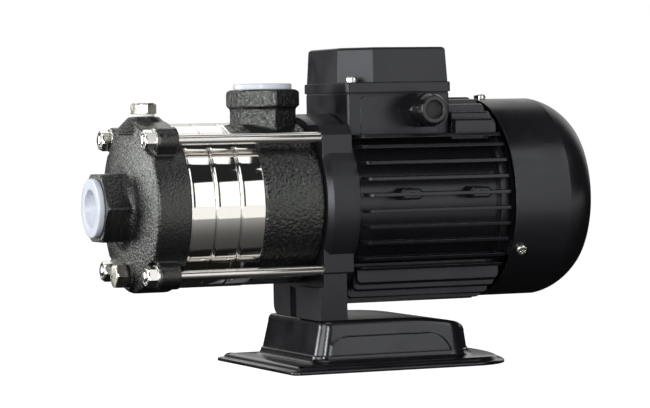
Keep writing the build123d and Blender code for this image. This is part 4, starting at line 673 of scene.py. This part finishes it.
def pressed_base():
    """Base: one surface from the hollow's ceiling, round the lip and over the crown.

    Each row is an outline set in or out along its own normals, at a height. Outlines are the
    flange's, the pedestal's foot and the pedestal's top, and rows between them are mixtures.
    """
    flange, outward = round_ended(
        front=87.0, back=265.0, half=75.0, front_corner=6.0, end_radius=142.0, end_corner=34.0
    )
    foot, foot_out = round_ended(
        front=112.0, back=243.0, half=55.5, front_corner=9.0, end_radius=80.0, end_corner=18.0
    )
    top, top_out = round_ended(
        front=118.5, back=239.0, half=52.75, front_corner=7.5, end_radius=76.0, end_corner=15.25
    )
    hollow = np.clip(foot, [121.5, -47.75], [210.5, 47.75])
    spine = np.stack([np.clip(top[:, 0], 140.0, 195.0), np.zeros(len(top))], axis=-1)
    ceiling, ceiling_middle, fillet = -89.0, 166.0, 4.5
    wall_start = FLANGE_TOP + fillet
    rows = []

    def add_row(outline, z):
        height = np.broadcast_to(z, (len(outline),))[:, None]
        rows.append(np.concatenate([outline, height], axis=1))

    def wall_at(z):
        lean = ((z - FLANGE_TOP) / (CROWN_TOP - FLANGE_TOP))[:, None]
        return foot * (1 - lean) + top * lean

    add_row(np.repeat([[ceiling_middle, 0.0]], len(foot), axis=0), ceiling)
    for z in (ceiling, -113.2, -SHAFT_HEIGHT):
        add_row(hollow, z)
    lip = [
        (-2.0, -114.0), (-0.7, -114.0), (-0.2, -113.8), (0.0, -113.3), (0.0, -112.5),
        (-0.25, -111.9), (-0.8, -111.6), (-3.2, -111.5), (-4.0, -111.35), (-4.5, -111.0),
        (-4.8, -110.4), (-5.3, -109.7), (-6.2, -109.1), (-7.6, -108.7), (-9.5, -108.5),
    ]
    for out, z in lip:
        add_row(flange + outward * out, z)
    for a in np.linspace(0, np.pi / 2, 9):
        add_row(foot + foot_out * fillet * (1 - np.sin(a)), wall_start - fillet * np.cos(a))
    ridge = -85.0 - crown_fall(np.minimum(top[:, 0] + 2.0, 241.5)) * 0.95
    on_side = np.abs(foot_out[:, 1]) > 0.999
    for t in np.linspace(0, 1, 34)[1:]:
        z = wall_start + t * (ridge - wall_start)
        wall = wall_at(z)
        raised = side_panel(wall[:, 0], z) * on_side
        add_row(wall + foot_out * raised[:, None], z)
    brow = wall_at(ridge)
    shoulder = (5.0 - 2.0 * np.clip(-top_out[:, 0], 0, 1))[:, None]
    inner = brow - top_out * shoulder
    crown = CROWN_TOP - crown_fall(inner[:, 0])
    for a in np.linspace(0, np.pi / 2, 11)[1:]:
        add_row(brow - top_out * shoulder * (1 - np.cos(a)), ridge + (crown - ridge) * np.sin(a))
    for t in np.linspace(0, 1, 12)[1:]:
        sheet = inner * (1 - t) + spine * t
        add_row(sheet, CROWN_TOP - crown_fall(sheet[:, 0]))
    mesh = mesh_of("pressed_base", [np.array(rows)])
    finished("pressed_base", mesh, "base", ["base_plate"], "pump_body", crease=30.0)


def cast_copy(name, node, look, voxel, rounds):
    """Casting: a merged copy of the CAD mesh, rebuilt in even cells and smoothed into fillets."""
    mesh = nodes[node].data.copy()
    whole = bmesh.new()
    whole.from_mesh(mesh)
    bmesh.ops.remove_doubles(whole, verts=whole.verts, dist=0.000005)
    whole.to_mesh(mesh)
    whole.free()
    blank = bpy.data.objects.new(name + "_blank", mesh)
    bpy.context.collection.objects.link(blank)
    remesh = blank.modifiers.new("cells", "REMESH")
    remesh.mode = "VOXEL"
    remesh.voxel_size = voxel
    smooth = blank.modifiers.new("fillets", "SMOOTH")
    smooth.factor = 0.5
    smooth.iterations = rounds
    bpy.context.view_layer.update()
    graph = bpy.context.evaluated_depsgraph_get()
    cast = bpy.data.meshes.new_from_object(blank.evaluated_get(graph))
    bpy.data.objects.remove(blank)
    finished(name, cast, look, [node], "pump_body", crease=180.0)


stage_rings()
tie_rod_set()
plugs()
port_caps()
cable_gland()
pressed_base()
cast_copy("cover_casting", "suction_cover", "cast_iron", 0.0008, 5)
cast_copy("discharge_casting", "discharge_casing", "cast_port", 0.00083, 4)


# Floor, light and camera

def along_profile(name, profile, width):
    """Sheet: a profile in (y, z) carried straight along X over the given width."""
    sides = np.array([-width / 2, width / 2])
    path = np.array(profile)
    x = np.broadcast_to(sides[:, None], (2, len(path)))
    y = np.broadcast_to(path[:, 0], x.shape)
    z = np.broadcast_to(path[:, 1], x.shape)
    points = np.stack([x, y, z], axis=-1).reshape(-1, 3)
    n = len(path)
    i = np.arange(n - 1)
    faces = np.stack([i, i + n, i + n + 1, i + 1], axis=-1)
    mesh = bpy.data.meshes.new(name)
    mesh.from_pydata(points.tolist(), [], faces.tolist())
    mesh.polygons.foreach_set("use_smooth", [True] * len(mesh.polygons))
    made = bpy.data.objects.new(name, mesh)
    bpy.context.collection.objects.link(made)
    return made


def pale_sweep():
    """Floor that runs up into a backdrop; to the metal it looks darker than to the eye: a glow
    with painted shade, a painted shadow of the pump under it and painted light further out and up
    the wall.
    """
    radius = 1.5
    back = 3.0
    arc = np.linspace(0, math.pi / 2, 24)
    profile = [(-6.0, 0.0)]
    profile += [(back + radius * math.sin(a), radius - radius * math.cos(a)) for a in arc]
    profile += [(back + radius, 6.0)]
    sweep = along_profile("studio_sweep", profile, 20.0)
    made, tree, shader = material("pale_sweep")
    tree.nodes.remove(shader)
    lit = add(tree, "ShaderNodeBsdfDiffuse", {"Color": (0.2, 0.2, 0.2, 1.0)})
    glow = add(tree, "ShaderNodeEmission", {"Color": (1.0, 1.0, 1.0, 1.0), "Strength": 0.97})
    pale = add(tree, "ShaderNodeAddShader", {0: lit.outputs[0], 1: glow.outputs[0]})
    place = add(tree, "ShaderNodeTexCoord").outputs["Object"]
    split = add(tree, "ShaderNodeSeparateXYZ", {0: place})
    across, along, height = split.outputs["Y"], split.outputs["X"], split.outputs["Z"]
    # painted shadow for reflections: the glow falls off towards the pump and is darkest in the
    # strip under it
    shade = ramped(tree, across, -0.086, -0.098, 0.15, 1.0)
    near = maths(tree, "MULTIPLY", ramped(tree, across, -0.38, -0.09, 0.36, 0.06), shade)
    # painted light: a brighter far table beyond the step
    table = maths(tree, "ADD", near, ramped(tree, across, -0.38, -0.395, 0.0, 0.75))
    # painted light: the backdrop's glow rises with height and towards +X
    rise = ramped(tree, height, 0.2, 1.1, 0.0, 0.8)
    wall = maths(tree, "MULTIPLY", rise, ramped(tree, along, -0.7, 0.3, 0.1, 1.0))
    level = maths(tree, "ADD", table, wall)
    # glow seen by all but camera rays, painting the room's light and shade into reflections
    dim = add(tree, "ShaderNodeEmission", {"Color": (1.0, 0.99, 0.97, 1.0), "Strength": level})
    seen = add(tree, "ShaderNodeLightPath").outputs["Is Camera Ray"]
    both = add(tree, "ShaderNodeMixShader", {0: seen, 1: dim.outputs[0], 2: pale.outputs[0]})
    tree.links.new(both.outputs[0], tree.nodes["Material Output"].inputs["Surface"])
    sweep.data.materials.append(made)


def soft_box(name, place, aim, size, power):
    """Rectangular area light at a place, turned to its aim."""
    lamp = bpy.data.lights.new(name, "AREA")
    lamp.shape = "RECTANGLE"
    lamp.size, lamp.size_y = size
    lamp.energy = power
    made = bpy.data.objects.new(name, lamp)
    facing = (Vector(aim) - Vector(place)).to_track_quat("-Z", "Y").to_matrix().to_4x4()
    made.matrix_world = Matrix.Translation(place) @ facing
    bpy.context.collection.objects.link(made)


def photo_camera():
    """Camera of the photograph: 1.9 m away, a little above the shaft and to its left."""
    turn, pitch, roll = math.radians(22.94), math.radians(1.67), math.radians(1.02)
    ahead = np.array([math.sin(turn), math.cos(turn), 0.0])
    forward = ahead * math.cos(pitch) - np.array([0.0, 0.0, math.sin(pitch)])
    level = np.array([math.cos(turn), -math.sin(turn), 0.0])
    upright = np.cross(level, forward)
    right = math.cos(roll) * level - math.sin(roll) * upright
    up = math.sin(roll) * level + math.cos(roll) * upright
    place = (-0.7798, -1.7742, 0.1685)
    lens = bpy.data.cameras.new("photo_camera")
    lens.lens = 152.27
    lens.sensor_width = 36.0
    made = bpy.data.objects.new("photo_camera", lens)
    axes = Matrix([right.tolist(), up.tolist(), (-forward).tolist()]).transposed().to_4x4()
    made.matrix_world = Matrix.Translation(place) @ axes
    bpy.context.collection.objects.link(made)
    bpy.context.scene.camera = made


def studio():
    """Soft boxes round the pump and a dim room; the room looks white to the eye."""
    middle = (0.0, 0.0, 0.12)
    soft_box("front_box", (0.95, -1.75, 0.66), middle, (1.4, 1.2), 7.0)
    soft_box("right_top_box", (1.5, -1.4, 1.7), middle, (0.9, 0.9), 5.0)
    soft_box("top_front_box", (-0.15, -0.4, 1.4), (-0.15, 0.0, 0.12), (1.2, 0.62), 3.0)
    soft_box("top_back_box", (-0.1, 0.8, 1.15), (-0.1, 0.0, 0.12), (1.2, 0.9), 3.6)
    soft_box("left_box", (-1.7, -0.45, 0.5), middle, (1.3, 1.2), 19.0)
    soft_box("strip_box", (-0.85, -1.43, 0.36), middle, (0.3, 0.7), 12.0)
    soft_box("cover_box", (-0.66, 0.42, 0.2), (-0.17, 0.0, 0.11), (0.4, 0.4), 3.6)
    world = bpy.data.worlds.new("studio_room")
    bpy.context.scene.world = world
    world.use_nodes = True
    tree = world.node_tree
    room = tree.nodes["Background"]
    room.inputs["Color"].default_value = (0.9, 0.92, 1.0, 1.0)
    room.inputs["Strength"].default_value = 0.02
    bright = add(tree, "ShaderNodeBackground", {"Color": (1.0, 1.0, 1.0, 1.0), "Strength": 1.0})
    seen = add(tree, "ShaderNodeLightPath").outputs["Is Camera Ray"]
    both = add(tree, "ShaderNodeMixShader", {0: seen, 1: room.outputs[0], 2: bright.outputs[0]})
    tree.links.new(both.outputs[0], tree.nodes["World Output"].inputs["Surface"])
    bpy.context.scene.view_settings.view_transform = "Standard"


pale_sweep()
studio()
photo_camera()
